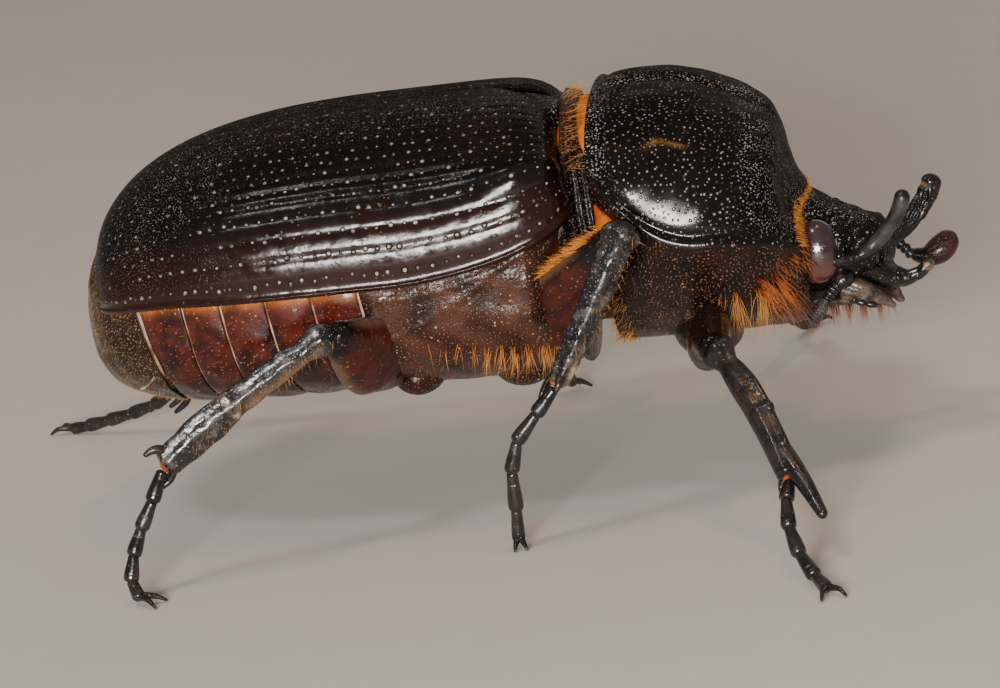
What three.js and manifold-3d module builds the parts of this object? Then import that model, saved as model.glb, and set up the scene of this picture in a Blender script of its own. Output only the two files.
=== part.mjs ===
// A male triceratops beetle (Phileurus truncatus), life size, standing still on six feet.
// Units are millimetres. +X is forward, +Y is the beetle's left and +Z is up; the feet rest on z = 0.
import * as THREE from 'three';
import { mergeVertices } from 'three/addons/utils/BufferGeometryUtils.js';
import Module from 'manifold-3d';

const wasm = await Module();
wasm.setup();

// ---------------------------------------------------------------- driving dimensions

const GAP = 0.12; // clear air between neighbouring plates
const WELD = 1e-4; // vertices nearer than this are one vertex

const BELLY = 4.9; // underside of the body above the floor
const ELYTRA = {
  halfWidth: 7.5,
  middle: -6.5, // where the pair is widest
  rear: -16.75,
  front: 2.7,
  rearRound: 3,
  frontRound: 6,
  crest: 16.62,
  crestAt: -3,
  crestRearRound: 2.6,
  crestFrontRound: 6,
  edge: 10.65, // height of the side edge
  edgeRise: [-4, 0.041], // ahead of this place the edge climbs, by this much for each mm squared
  edgeFall: [-12, 0.035], // and behind this one it drops
  lean: 1.3, // how far the shoulders reach ahead of the scutellum
};
const CORE = {
  halfWidth: 6.95,
  middle: -6,
  rear: -17.45,
  front: 4.2,
  neckHalfWidth: 4.4,
  neckTop: 14.9,
  waist: 9,
  top: 15.85,
};
const PROTHORAX = {
  rear: 4.45,
  front: 12.45,
  halfWidth: 7.2,
  middle: 8.2,
  rearLength: 6,
  frontLength: 5,
  top: 16.45,
  topAt: 6.6,
  slope: 0.078,
  rearRound: 2.4,
  frontRound: 2.2,
  margin: 10.75, // height of the side margin at its lowest
  marginAt: 8.6,
  marginRise: 0.19, // how steeply the margin climbs behind that place
  marginFall: 0.075, // and drops ahead of it
  furrowDepth: 0.4,
  furrowHalfWidth: 0.75,
};
const DECLIVITY = { at: 11.92, drop: 2.9, width: 0.32 }; // the steep front of the pronotum
const NECK_SEAM = 2.95; // between the mesothorax and the metathorax
const SEAMS = [-5.05, -6.95, -8.85, -10.75, -12.4]; // the front edges of the abdomen's rings
const PYGIDIUM = { top: -14.3, tilt: 13 }; // where its seam meets the waist, and its lean in degrees
const SCUTELLUM = { front: 3.5, rear: 0.4, halfWidth: 1.9 };

// The head stands on the neck, turned and tipped to its right. Its own axes are the body's.
const HEAD = { neck: [12.5, 0, 8.7], yaw: -11, roll: -8, rear: -0.6, length: 3.35, halfWidth: 2.6 };
const HORN = { base: [2.75, 2.05, -0.2], tip: [4.74, 2.75, 2.2], baseRadius: 0.48, tipRadius: 0.28 };
const EYE = { at: [0.95, 2.35, -0.1], radii: [0.72, 0.62, 1.22] };

// The posture: each leg's joints in the body's axes, from the hip to the root of the claws.
const LEGS = {
  front_right: {
    coxa: [8.2, -2.5, 6.3],
    hip: [8.1, -3.9, 6.6],
    knee: [8.85, -8.9, 7.05],
    ankle: [11.55, -13.75, 3],
    toes: [[11.35, -14.5, 2.45], [11.4, -15.6, 1.7], [11.75, -16.8, 1], [12.3, -17.9, 0.45], [12.75, -18.8, 0.22]],
    claws: [0.3, -0.95],
  },
  front_left: {
    coxa: [8.2, 2.5, 6.3],
    hip: [8.1, 3.9, 6.6],
    knee: [9.2, 8.9, 7.1],
    ankle: [10.25, 13.5, 3],
    toes: [[10.1, 14.3, 2.45], [10.1, 15.4, 1.7], [10.3, 16.6, 1], [10.7, 17.7, 0.45], [11.1, 18.6, 0.22]],
    claws: [0.35, 0.93],
  },
  middle_right: {
    coxa: [0.6, -2.7, 5.8],
    hip: [0.7, -4.2, 6.4],
    knee: [5.85, -8.2, 12.1],
    ankle: [2.6, -9.7, 6.5],
    toes: [[1.7, -9.95, 5.5], [0.8, -10.05, 4.5], [0.42, -10.05, 3.3], [0.38, -9.95, 1.7], [0.3, -9.9, 0.42]],
    claws: [0.1, -0.5],
  },
  middle_left: {
    coxa: [0.6, 2.7, 5.8],
    hip: [0.7, 4.2, 6.4],
    knee: [5.2, 8.4, 11.2],
    ankle: [1.6, 10.4, 5.8],
    toes: [[0.9, 10.7, 4.7], [0.5, 11, 3.7], [0.3, 11.3, 2.6], [0.3, 11.6, 1.4], [0.55, 11.95, 0.4]],
    claws: [0.5, 0.6],
  },
  hind_right: {
    coxa: [-3.7, -3.2, 5.85],
    hip: [-4.2, -4.4, 6.3],
    knee: [-6.15, -8.9, 9.25],
    ankle: [-13.2, -10.75, 5.1],
    toes: [[-13.75, -11.2, 3.9], [-14.3, -11.5, 2.9], [-14.7, -11.85, 1.95], [-14.9, -12.15, 1], [-14.6, -12.5, 0.35]],
    claws: [0.9, -0.3],
  },
  hind_left: {
    coxa: [-3.7, 3.2, 5.85],
    hip: [-4.2, 4.4, 6.3],
    knee: [-9.4, 8.4, 7.6],
    ankle: [-16.9, 11, 2.3],
    toes: [[-18.2, 11.6, 1.5], [-19.4, 12.1, 1.05], [-20.6, 12.6, 0.7], [-21.7, 13.05, 0.42], [-22.5, 13.4, 0.24]],
    claws: [-0.9, 0.35],
  },
};

// The thickness of each pair of legs, as half sizes: deep is the broad way, thin the other.
const BUILD = {
  front: { deep: 1.25, thin: 0.85, shank: 0.6, apex: 0.8, broad: [0.3, 0, 1], bow: 0.35 },
  middle: { deep: 1.6, thin: 0.8, shank: 0.62, apex: 0.55, broad: [-0.8, 0, 0.6], bow: 0.15 },
  hind: { deep: 1.6, thin: 0.85, shank: 0.52, apex: 0.72, broad: [0.5, 0, 1], bow: 0.2 },
};
// The teeth and spurs of a tibia. Each roots at a share of its length, on the side given by a turn
// in degrees from the outer edge, and stands out from that side and on towards the foot.
const THORNS = {
  front: [
    { at: 0.9, turn: 0, out: 0.05, on: 3.1, radius: 0.38 },
    { at: 0.62, turn: 0, out: 0.45, on: 0.5, radius: 0.34 },
    { at: 0.95, turn: 180, out: 0.4, on: 0.9, radius: 0.26 },
  ],
  middle: [
    { at: 0.93, turn: 150, out: 0.3, on: 1.3, radius: 0.27 },
    { at: 0.93, turn: 0, out: 0.35, on: 0.7, radius: 0.27 },
  ],
  hind: [
    { at: 0.93, turn: 165, out: 0.35, on: 1.6, radius: 0.3 },
    { at: 0.93, turn: 0, out: 0.45, on: 0.9, radius: 0.3 },
  ],
};
const COXA_RADII = { front: [1.45, 1.75, 1.25], middle: [1.35, 1.8, 1.05], hind: [1.15, 2.8, 1.15] };
const KNEE_ROOM = 0.3; // a tibia starts this far past the middle of the knee
const CLAW = { length: 1.15, splay: 24, root: 0.26, tip: 0.16, height: 0.12 }; // its middle line above the floor
const TOE = { waist: 0.26, flare: 0.07 }; // radii of a tarsus at and between its joints

// ---------------------------------------------------------------- finishes

const finishes = {
  shell: { color: 0x0d0b0b, roughness: 0.25, metalness: 0 },
  belly: { color: 0x3d150e, roughness: 0.3, metalness: 0 },
  sternum: { color: 0x1c100c, roughness: 0.45, metalness: 0 },
  leg: { color: 0x0c0a0a, roughness: 0.28, metalness: 0 },
  femur: { color: 0x32110b, roughness: 0.3, metalness: 0 },
  eye: { color: 0x2a1519, roughness: 0.15, metalness: 0 },
  club: { color: 0x4a1c12, roughness: 0.4, metalness: 0 },
};

function finish(slot) {
  return new THREE.MeshStandardMaterial({ name: slot, ...finishes[slot] });
}

// ---------------------------------------------------------------- shaping tools

const v = (x, y, z) => new THREE.Vector3(x, y, z);
const clamp = THREE.MathUtils.clamp;
const lerp = THREE.MathUtils.lerp;
const radians = THREE.MathUtils.degToRad;

// A power of a signed number that keeps its sign: it makes the corners of a superellipse.
function signedPower(value, power) {
  return Math.sign(value) * Math.abs(value) ** power;
}

// The fall-off from 1 at the middle to 0 at the end of a rounded outline.
function rounding(distance, roundness) {
  return (1 - clamp(Math.abs(distance), 0, 1) ** roundness) ** (1 / roundness);
}

function smoothStep(value) {
  const t = clamp(value, 0, 1);
  return t * t * (3 - 2 * t);
}

// A closed drum whose rim and end caps are moved by place(t, across, up): t runs from 0 to 1
// along the drum, and across and up run round its unit circle.
function drum(sides, steps, place) {
  const geometry = new THREE.CylinderGeometry(1, 1, 1, sides, steps, false);
  const position = geometry.attributes.position;
  for (let i = 0; i < position.count; i += 1) {
    const t = position.getY(i) + 0.5;
    const point = place(t, position.getZ(i), position.getX(i));
    position.setXYZ(i, point.x, point.y, point.z);
  }
  return geometry;
}

// A ball of the given radii, stretched along its own X axis.
function ball(radii, across = 8, down = 4) {
  const geometry = new THREE.SphereGeometry(1, across, down);
  geometry.rotateZ(Math.PI / 2);
  geometry.scale(...radii);
  return geometry;
}

// A limb from the origin along +X: profile(t) gives its half thickness up and across,
// and bow how far the middle of its length rises from the axis.
function limb(length, sides, steps, profile, bow = 0) {
  return drum(sides, steps, (t, across, up) => {
    const [halfUp, halfAcross] = profile(t);
    return v(t * length, across * halfAcross, up * halfUp + bow * Math.sin(Math.PI * t));
  });
}

// A tube along a curve, with its radius given by a function of the way along.
function tube(points, sides, steps, radius) {
  const curve = new THREE.CatmullRomCurve3(points, false, 'centripetal');
  const frames = curve.computeFrenetFrames(steps, false);
  return drum(sides, steps, (t, across, up) => {
    const index = Math.round(t * steps);
    const size = radius(t);
    return curve
      .getPointAt(t)
      .addScaledVector(frames.normals[index], across * size)
      .addScaledVector(frames.binormals[index], up * size);
  });
}

// ---------------------------------------------------------------- joining and cutting

function solidOf(geometry, matrix = new THREE.Matrix4()) {
  const bare = geometry.clone().applyMatrix4(matrix);
  bare.deleteAttribute('normal');
  bare.deleteAttribute('uv');
  const merged = mergeVertices(bare, WELD);
  const index = merged.index.array;
  const corners = [];
  for (let i = 0; i < index.length; i += 3) {
    const [a, b, c] = index.slice(i, i + 3);
    if (a !== b && b !== c && c !== a) corners.push(a, b, c);
  }
  const vertProperties = new Float32Array(merged.attributes.position.array);
  const triVerts = new Uint32Array(corners);
  return new wasm.Manifold(new wasm.Mesh({ numProp: 3, vertProperties, triVerts }));
}

function geometryOf(solid) {
  const { vertProperties, triVerts } = solid.getMesh();
  const geometry = new THREE.BufferGeometry();
  geometry.setAttribute('position', new THREE.BufferAttribute(new Float32Array(vertProperties), 3));
  geometry.setIndex(new THREE.BufferAttribute(new Uint32Array(triVerts), 1));
  return geometry;
}

function slab(low, high) {
  const size = v(...high).sub(v(...low));
  const middle = v(...high).add(v(...low)).multiplyScalar(0.5);
  const geometry = new THREE.BoxGeometry(size.x, size.y, size.z);
  geometry.translate(middle.x, middle.y, middle.z);
  return geometry;
}

const everything = 60; // further than the model reaches
const aboveFloor = solidOf(slab([-everything, -everything, 0], [everything, everything, everything]));

// Where a limb that starts at one point and heads for another stands, with its "up" side
// as near as it can be to the given direction.
function aimed(from, to, upwards) {
  const along = v(...to).sub(v(...from)).normalize();
  const across = v(...upwards).cross(along).normalize();
  const up = along.clone().cross(across);
  const matrix = new THREE.Matrix4().makeBasis(along, across, up);
  return matrix.setPosition(...from);
}

function mesh(name, slot, solid, matrix = new THREE.Matrix4()) {
  const geometry = geometryOf(solid).applyMatrix4(matrix.clone().invert());
  const piece = new THREE.Mesh(geometry, finish(slot));
  piece.name = name;
  piece.applyMatrix4(matrix);
  return piece;
}

// ---------------------------------------------------------------- outlines of the body

function elytraHalfWidth(x) {
  const { halfWidth, middle, rear, front, rearRound, frontRound } = ELYTRA;
  if (x < middle) return halfWidth * rounding((middle - x) / (middle - rear), rearRound);
  return halfWidth * rounding((x - middle) / (front - middle), frontRound);
}

function elytraEdge(x) {
  const [riseFrom, rise] = ELYTRA.edgeRise;
  const [fallFrom, fall] = ELYTRA.edgeFall;
  return ELYTRA.edge + rise * Math.max(x - riseFrom, 0) ** 2 - fall * Math.max(fallFrom - x, 0) ** 2;
}

function elytraTop(x) {
  const { edge, crest, crestAt, crestRearRound, crestFrontRound, rear, front } = ELYTRA;
  const height = crest - edge;
  if (x < crestAt) {
    return edge + height * rounding((crestAt - x) / (crestAt - rear), crestRearRound);
  }
  return edge + height * rounding((x - crestAt) / (front - crestAt), crestFrontRound);
}

function pronotumHalfWidth(x) {
  const { halfWidth, middle, rearLength, frontLength, rearRound, frontRound } = PROTHORAX;
  if (x < middle) return halfWidth * rounding((middle - x) / rearLength, rearRound);
  return halfWidth * rounding((x - middle) / frontLength, frontRound);
}

function pronotumMargin(x) {
  const { margin, marginAt, marginRise, marginFall } = PROTHORAX;
  return margin + (x < marginAt ? marginRise : -marginFall) * (x - marginAt) ** 2;
}

function pronotumTop(x) {
  const { top, topAt, slope } = PROTHORAX;
  const step = 0.5 + 0.5 * Math.tanh((x - DECLIVITY.at) / DECLIVITY.width);
  return top - slope * (x - topAt) ** 2 - DECLIVITY.drop * step;
}

function furrow(x, y) {
  const { furrowDepth, furrowHalfWidth, rear } = PROTHORAX;
  const ends = smoothStep((x - rear) / 1.2) * smoothStep((DECLIVITY.at + 0.4 - x) / 1.2);
  return furrowDepth * ends * Math.exp(-((y / furrowHalfWidth) ** 2));
}

// ---------------------------------------------------------------- elytra

function elytraDome(shrink = 0) {
  const { rear, front, lean, crest, edge: low } = ELYTRA;
  return drum(22, 13, (t, across, up) => {
    const x = lerp(rear, front, 0.5 - 0.5 * Math.cos(Math.PI * t));
    const edge = elytraEdge(x);
    const height = Math.max(elytraTop(x) - edge, 0.02);
    const below = Math.min(0.45, 0.5 * height);
    const z = edge + (up > 0 ? height * signedPower(up, 0.86) : below * up) - shrink;
    const y = elytraHalfWidth(x) * signedPower(across, 0.86);
    const depth = clamp((elytraTop(x) - z) / (crest - low), 0, 1);
    return v(x + lean * depth * smoothStep((x + 4) / 6.5), y, z);
  });
}

// An upright prism over the scutellum's triangle.
function scutellumPrism(grow) {
  const { front, rear, halfWidth } = SCUTELLUM;
  const shape = new THREE.Shape();
  shape.moveTo(rear - 2 * grow, 0);
  shape.lineTo(front, -halfWidth - grow);
  shape.lineTo(front, halfWidth + grow);
  shape.closePath();
  return new THREE.ExtrudeGeometry(shape, { depth: 2 * ELYTRA.crest, bevelEnabled: false });
}

// ---------------------------------------------------------------- the core under the elytra

function coreReach(x, grow) {
  const { middle, rear } = CORE;
  return x < middle ? (middle - x) / (middle - rear + grow) : 0;
}

function coreHalfWidth(x, grow) {
  const { halfWidth, neckHalfWidth } = CORE;
  const neck = smoothStep((x - 1.6) / 2.2);
  return lerp((halfWidth + grow) * rounding(coreReach(x, grow), 2.5), neckHalfWidth + grow, neck);
}

function coreTop(x, grow) {
  const { top, waist, neckTop } = CORE;
  const neck = smoothStep((x - 1.2) / 2.4);
  const back = (top - waist + grow) * rounding(coreReach(x, grow), 2.3);
  return waist + lerp(back, neckTop - waist + grow, neck);
}

function coreBottom(x, grow) {
  const { waist } = CORE;
  return waist - (waist - BELLY + grow) * rounding(coreReach(x, grow), 4);
}

function core(grow = 0) {
  const { rear, front, waist } = CORE;
  return drum(16, 12, (t, across, up) => {
    const x = lerp(rear - grow, front + grow, t ** 1.3);
    const reach = up > 0 ? coreTop(x, grow) - waist : waist - coreBottom(x, grow);
    const z = waist + reach * signedPower(up, 0.85);
    const y = coreHalfWidth(x, grow) * signedPower(across, up > 0 ? 0.85 : 1.05);
    return v(x, y, z);
  });
}

// ---------------------------------------------------------------- prothorax

function pronotum() {
  const { rear, front } = PROTHORAX;
  return drum(20, 12, (t, across, up) => {
    const x = lerp(rear, front, t);
    const margin = pronotumMargin(x) + 0.5 * GAP;
    const y = pronotumHalfWidth(x) * signedPower(across, 0.9);
    const height = pronotumTop(x) - margin;
    const z = up > 0 ? height * signedPower(up, 0.9) - furrow(x, y) : 0;
    return v(x, y, margin + z);
  });
}

function prosternum() {
  const { rear, front } = PROTHORAX;
  return drum(14, 6, (t, across, up) => {
    const x = lerp(rear, front, t);
    const margin = pronotumMargin(x) - 0.5 * GAP;
    const depth = margin - BELLY - 0.7;
    const taper = up < 0 ? 1 + 0.25 * up : 1;
    const y = (pronotumHalfWidth(x) - 0.3) * signedPower(across, 0.9) * taper;
    return v(x, y, margin + (up < 0 ? depth * signedPower(up, 0.9) : 0));
  });
}

// ---------------------------------------------------------------- legs

const sides = { right: -1, left: 1 };

function swell(t, start, end, peak = 0.42) {
  if (t < peak) return lerp(start, 1, smoothStep(t / peak));
  return lerp(1, end, smoothStep((t - peak) / (1 - peak)));
}

// A femur is a flattened spindle from the hip to the knee.
function femur(leg, build, grow = 0) {
  const length = v(...leg.knee).distanceTo(v(...leg.hip));
  const matrix = aimed(leg.hip, leg.knee, build.broad);
  const profile = (t) => [
    build.deep * swell(t, 0.5, 0.5) + grow,
    build.thin * swell(t, 0.6, 0.72) + grow,
  ];
  const spindle = limb(length - GAP + 2 * grow, 8, 5, profile);
  spindle.translate(GAP - grow, 0, 0);
  return { spindle, matrix };
}

// A tibia widens from the knee to its apex, which carries spurs and, on the outer edge, teeth.
function tibia(leg, build, grow = 0) {
  const length = v(...leg.ankle).distanceTo(v(...leg.knee));
  const matrix = aimed(leg.knee, leg.ankle, [0.6, 0, 1]);
  const profile = (t) => [
    lerp(build.shank, build.apex, t ** 1.6) + grow,
    lerp(0.4, 0.5, t) + grow,
  ];
  const shank = limb(length - KNEE_ROOM + 2 * grow, 8, 5, profile, build.bow);
  shank.translate(KNEE_ROOM - grow, 0, 0);
  return { shank, matrix, length };
}

// A thorn roots in the middle of the shank and leans towards the apex.
function thorn({ at, turn, out, on, radius }, length, build) {
  const way = v(0, -Math.sin(radians(turn)), Math.cos(radians(turn)));
  const root = v(at * length, 0, build.bow * Math.sin(Math.PI * at));
  const edge = lerp(build.shank, build.apex, at) - 0.6 * radius;
  const middle = root.clone().addScaledVector(way, edge + 0.8 * out).add(v(0.45 * on, 0, 0));
  const tip = root.clone().addScaledVector(way, edge + out).add(v(on, 0, 0));
  return tube([root.addScaledVector(way, 0.5 * edge), middle, tip], 4, 3, (t) => lerp(radius, 0.14, t ** 1.5));
}

const group = new THREE.Group();

function addLeg(key, leg, cutters) {
  const [pair, side] = key.split('_');
  const build = BUILD[pair];
  const name = (part) => `${part}_${key}`;
  const coxa = ball(COXA_RADII[pair]);
  const coxaPlace = new THREE.Matrix4().setPosition(...leg.coxa);
  const thigh = femur(leg, build);
  const shin = tibia(leg, build);
  const wideThigh = femur(leg, build, GAP);
  const wideShin = tibia(leg, build, GAP);

  const claws = v(leg.claws[0], leg.claws[1], 0);
  const toes = leg.toes.map((point) => v(...point));
  const ankle = v(...leg.ankle);
  toes.unshift(ankle.clone().lerp(toes[0], 0.22));
  const radius = (t) => TOE.waist + TOE.flare * ((5.5 * t) % 1);
  let foot = solidOf(tube(toes, 5, 7, radius));
  for (const turn of [-CLAW.splay, CLAW.splay]) {
    const way = claws.clone().applyAxisAngle(v(0, 0, 1), radians(turn));
    const root = toes[5].clone().addScaledVector(claws, -0.15);
    const middle = root.clone().addScaledVector(way, 0.4 * CLAW.length).setZ(CLAW.height);
    const tip = root.clone().addScaledVector(way, CLAW.length).setZ(CLAW.height);
    foot = foot.add(solidOf(tube([root, middle, tip], 4, 2, (t) => lerp(CLAW.root, CLAW.tip, t))));
  }
  foot = foot.intersect(aboveFloor);

  let shinSolid = solidOf(shin.shank, shin.matrix);
  for (const row of THORNS[pair]) {
    shinSolid = shinSolid.add(solidOf(thorn(row, shin.length, build), shin.matrix));
  }
  const thighSolid = solidOf(thigh.spindle, thigh.matrix).subtract(solidOf(wideShin.shank, shin.matrix));
  const coxaSolid = solidOf(coxa, coxaPlace).subtract(solidOf(wideThigh.spindle, thigh.matrix));
  cutters.push(solidOf(wideThigh.spindle, thigh.matrix));
  cutters.push(solidOf(ball(COXA_RADII[pair].map((radius) => radius + GAP)), coxaPlace));

  const limbGroup = new THREE.Group();
  limbGroup.add(mesh(name('coxa'), 'sternum', coxaSolid, coxaPlace));
  limbGroup.add(mesh(name('femur'), 'femur', thighSolid, thigh.matrix));
  limbGroup.add(mesh(name('tibia'), 'leg', shinSolid, shin.matrix));
  limbGroup.add(mesh(name('tarsus'), 'leg', foot, new THREE.Matrix4().setPosition(...leg.toes[0])));
  group.add(limbGroup);
}

const cutters = [];
for (const [key, leg] of Object.entries(LEGS)) addLeg(key, leg, cutters);
const cutBy = (solid) => cutters.reduce((left, cutter) => left.subtract(cutter), solid);

// ---------------------------------------------------------------- head

const headPlace = new THREE.Matrix4()
  .makeRotationFromEuler(new THREE.Euler(radians(HEAD.roll), 0, radians(HEAD.yaw), 'ZXY'))
  .setPosition(...HEAD.neck);
const inHead = (geometry) => solidOf(geometry, headPlace);

// The capsule: broad at the eyes and narrow at the mouth, with its brow sloping forward.
function capsule(grow = 0) {
  const { rear, length, halfWidth } = HEAD;
  return drum(14, 5, (t, across, up) => {
    const x = lerp(rear - grow, length + grow, t);
    const width = halfWidth * lerp(1, 0.62, smoothStep((t - 0.4) / 0.7)) + grow;
    const top = lerp(2.4, 0.8, t ** 0.85);
    const bottom = lerp(-2.1, -1.5, t);
    const half = 0.5 * (top - bottom) + grow;
    return v(x, width * signedPower(across, 0.9), 0.5 * (top + bottom) + half * signedPower(up, 0.85));
  });
}

function horn(sign, grow = 0) {
  const [bx, by, bz] = HORN.base;
  const [tx, ty, tz] = HORN.tip;
  const points = [
    v(bx - 0.5, sign * (by - 0.3), bz - 0.25),
    v(bx + 0.45, sign * (by + 0.08), bz + 0.1),
    v(lerp(bx, tx, 0.7), sign * lerp(by, ty, 0.4), lerp(bz, tz, 0.36)),
    v(tx, sign * ty, tz),
  ];
  const radius = (t) => lerp(HORN.baseRadius, HORN.tipRadius, Math.min(1, 1.4 * t)) + grow;
  return tube(points, 6, 6, radius);
}

// The clypeus is a plate that narrows forward and turns up into the third horn.
function clypeus(grow = 0) {
  const points = [v(2.6, 0, -0.95), v(3.3, 0, -1.7), v(4.1, 0, -1.95), v(4.75, 0, -1.6), v(5, 0, -1.15)];
  const curve = new THREE.CatmullRomCurve3(points, false, 'centripetal');
  return drum(8, 6, (t, across, up) => {
    const tangent = curve.getTangentAt(t);
    const normal = v(-tangent.z, 0, tangent.x);
    const width = lerp(1.4, 0.4, smoothStep(1.3 * t)) + grow;
    return curve.getPointAt(t).addScaledVector(normal, (0.3 + grow) * up).add(v(0, across * width, 0));
  });
}

// The canthus is the bar of the head's rim that runs back across the eye.
function canthus(sign, grow = 0) {
  const bar = ball([0.95 + grow, 0.55 + grow, 0.2 + grow], 6, 4);
  bar.translate(1.75, sign * 2.4, -0.42);
  return bar;
}

function eye(sign, grow = 0) {
  const [x, y, z] = EYE.at;
  const globe = ball(EYE.radii.map((radius) => radius + grow), 8, 6);
  globe.translate(x, sign * y, z);
  return globe;
}

function mandible(sign, grow = 0) {
  const jaw = ball([1.15 + grow, 0.6 + grow, 0.55 + grow], 8, 5);
  jaw.rotateY(radians(12));
  jaw.translate(2.9, sign * 1, -2.1);
  return jaw;
}

function labium() {
  return drum(8, 3, (t, across, up) => {
    const width = lerp(1.5, 0.75, t) * signedPower(across, 0.9);
    return v(lerp(0.2, 3.1, t), width, lerp(-2.5, -2.75, t) + 0.42 * signedPower(up, 0.85));
  });
}

// The right antenna hangs under the head and the left one reaches forward.
const ANTENNAE = {
  right: {
    stalk: [[1.85, -2.2, -1.2], [1.45, -2.75, -1.75], [1.2, -2.85, -2.3]],
    club: [[1.12, -2.88, -2.5], [0.8, -3, -2.95], [0.4, -3.1, -3.35]],
  },
  left: {
    stalk: [[2.1, 2.1, -1.1], [2.8, 2.95, -0.9], [3.45, 3.4, -1.2]],
    club: [[3.65, 3.5, -1.23], [4.2, 3.75, -1.1], [4.85, 4.05, -0.98]],
  },
};

function stalk(points, grow = 0) {
  const radius = (t) => lerp(0.42, 0.26, smoothStep(2 * t - 0.6)) + grow;
  return tube(points.map((point) => v(...point)), 5, 4, radius);
}

function club(points) {
  const radius = (t) => lerp(0.27, 0.55, Math.sin(Math.PI * t));
  return tube(points.map((point) => v(...point)), 6, 5, radius);
}

function palp(sign, grow = 0) {
  const points = [v(2.3, sign * 1.2, -2.5), v(2.9, sign * 1.75, -2.85), v(3.35, sign * 1.8, -3.05)];
  return tube(points, 5, 3, () => 0.25 + grow);
}

const headGroup = new THREE.Group();
group.add(headGroup);

function addToHead(name, slot, solid) {
  headGroup.add(mesh(name, slot, solid, headPlace));
}

let headSolid = inHead(capsule()).subtract(inHead(clypeus(GAP)));
for (const [side, sign] of Object.entries(sides)) {
  headSolid = headSolid.subtract(inHead(eye(sign, GAP))).add(inHead(canthus(sign)));
  headSolid = headSolid.subtract(inHead(horn(sign, GAP))).subtract(inHead(stalk(ANTENNAE[side].stalk, GAP)));
}
addToHead('head', 'shell', headSolid);
addToHead('clypeus', 'shell', inHead(clypeus()));
const wideCapsule = inHead(capsule(GAP));
let chin = inHead(labium()).subtract(wideCapsule);
for (const [side, sign] of Object.entries(sides)) {
  const jaw = inHead(mandible(sign)).subtract(inHead(clypeus(GAP))).subtract(wideCapsule);
  chin = chin.subtract(inHead(mandible(sign, GAP))).subtract(inHead(palp(sign, GAP)));
  addToHead(`eye_${side}`, 'eye', inHead(eye(sign)).subtract(inHead(canthus(sign, GAP))));
  addToHead(`horn_${side}`, 'shell', inHead(horn(sign)));
  addToHead(`mandible_${side}`, 'shell', jaw.subtract(inHead(palp(sign, GAP))));
  addToHead(`palp_${side}`, 'leg', inHead(palp(sign)).subtract(wideCapsule));
  addToHead(`antenna_stalk_${side}`, 'leg', inHead(stalk(ANTENNAE[side].stalk)));
  addToHead(`antenna_club_${side}`, 'club', inHead(club(ANTENNAE[side].club)));
  cutters.push(inHead(eye(sign, GAP)));
}
addToHead('labium', 'shell', chin);
cutters.push(wideCapsule);

// ---------------------------------------------------------------- assembly

const between = (low, high) => solidOf(slab([low, -everything, -everything], [high, everything, everything]));

group.add(mesh('pronotum', 'shell', cutBy(solidOf(pronotum()))));
group.add(mesh('prosternum', 'sternum', cutBy(solidOf(prosternum()))));

const trunk = cutBy(solidOf(core()));
group.add(mesh('mesothorax', 'sternum', trunk.intersect(between(NECK_SEAM + GAP, 20))));
group.add(mesh('metathorax', 'sternum', trunk.intersect(between(SEAMS[0] + GAP, NECK_SEAM))));
const tail = new THREE.Matrix4().makeRotationY(-radians(PYGIDIUM.tilt)).setPosition(PYGIDIUM.top, 0, CORE.waist);
const behind = solidOf(slab([-everything, -everything, -everything], [0, everything, everything]), tail);
const ahead = solidOf(slab([GAP, -everything, -everything], [everything, everything, everything]), tail);
SEAMS.forEach((front, index) => {
  const rear = SEAMS[index + 1] ?? -everything;
  const ring = trunk.intersect(between(rear + GAP, front)).intersect(ahead);
  group.add(mesh(`abdomen_${index + 1}`, 'belly', ring));
});
group.add(mesh('pygidium', 'belly', trunk.intersect(behind)));

const shell = solidOf(elytraDome()).subtract(solidOf(core(GAP))).subtract(solidOf(scutellumPrism(GAP)));
const scutellum = solidOf(elytraDome(0.35)).subtract(solidOf(core(GAP))).intersect(solidOf(scutellumPrism(0)));
group.add(mesh('scutellum', 'shell', scutellum));
for (const [side, sign] of Object.entries(sides)) {
  const low = sign < 0 ? [-everything, -everything, -everything] : [-everything, 0.5 * GAP, -everything];
  const high = sign < 0 ? [everything, -0.5 * GAP, everything] : [everything, everything, everything];
  group.add(mesh(`elytron_${side}`, 'shell', cutBy(shell.intersect(solidOf(slab(low, high))))));
}
// The model stands on the floor with its middle over the origin.
const bounds = new THREE.Box3().setFromObject(group);
const centre = bounds.getCenter(v(0, 0, 0));
group.position.set(-centre.x, -centre.y, -bounds.min.z);

export default group;
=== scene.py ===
"""A life-size still model of a male triceratops beetle, standing on its six feet.

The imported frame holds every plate's place and outline. Each class below builds one
sub-assembly from named sizes in millimetres, in the frame's own axes with the origin of
lengths under the waist: +X is forward, +Y the beetle's left and +Z up from the floor.
"""

from __future__ import annotations

import logging
import math
from dataclasses import dataclass, field, replace
from enum import Enum
from itertools import product
from typing import Callable

import bmesh
import bpy
import numpy as np
from mathutils import Matrix, Vector


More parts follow.
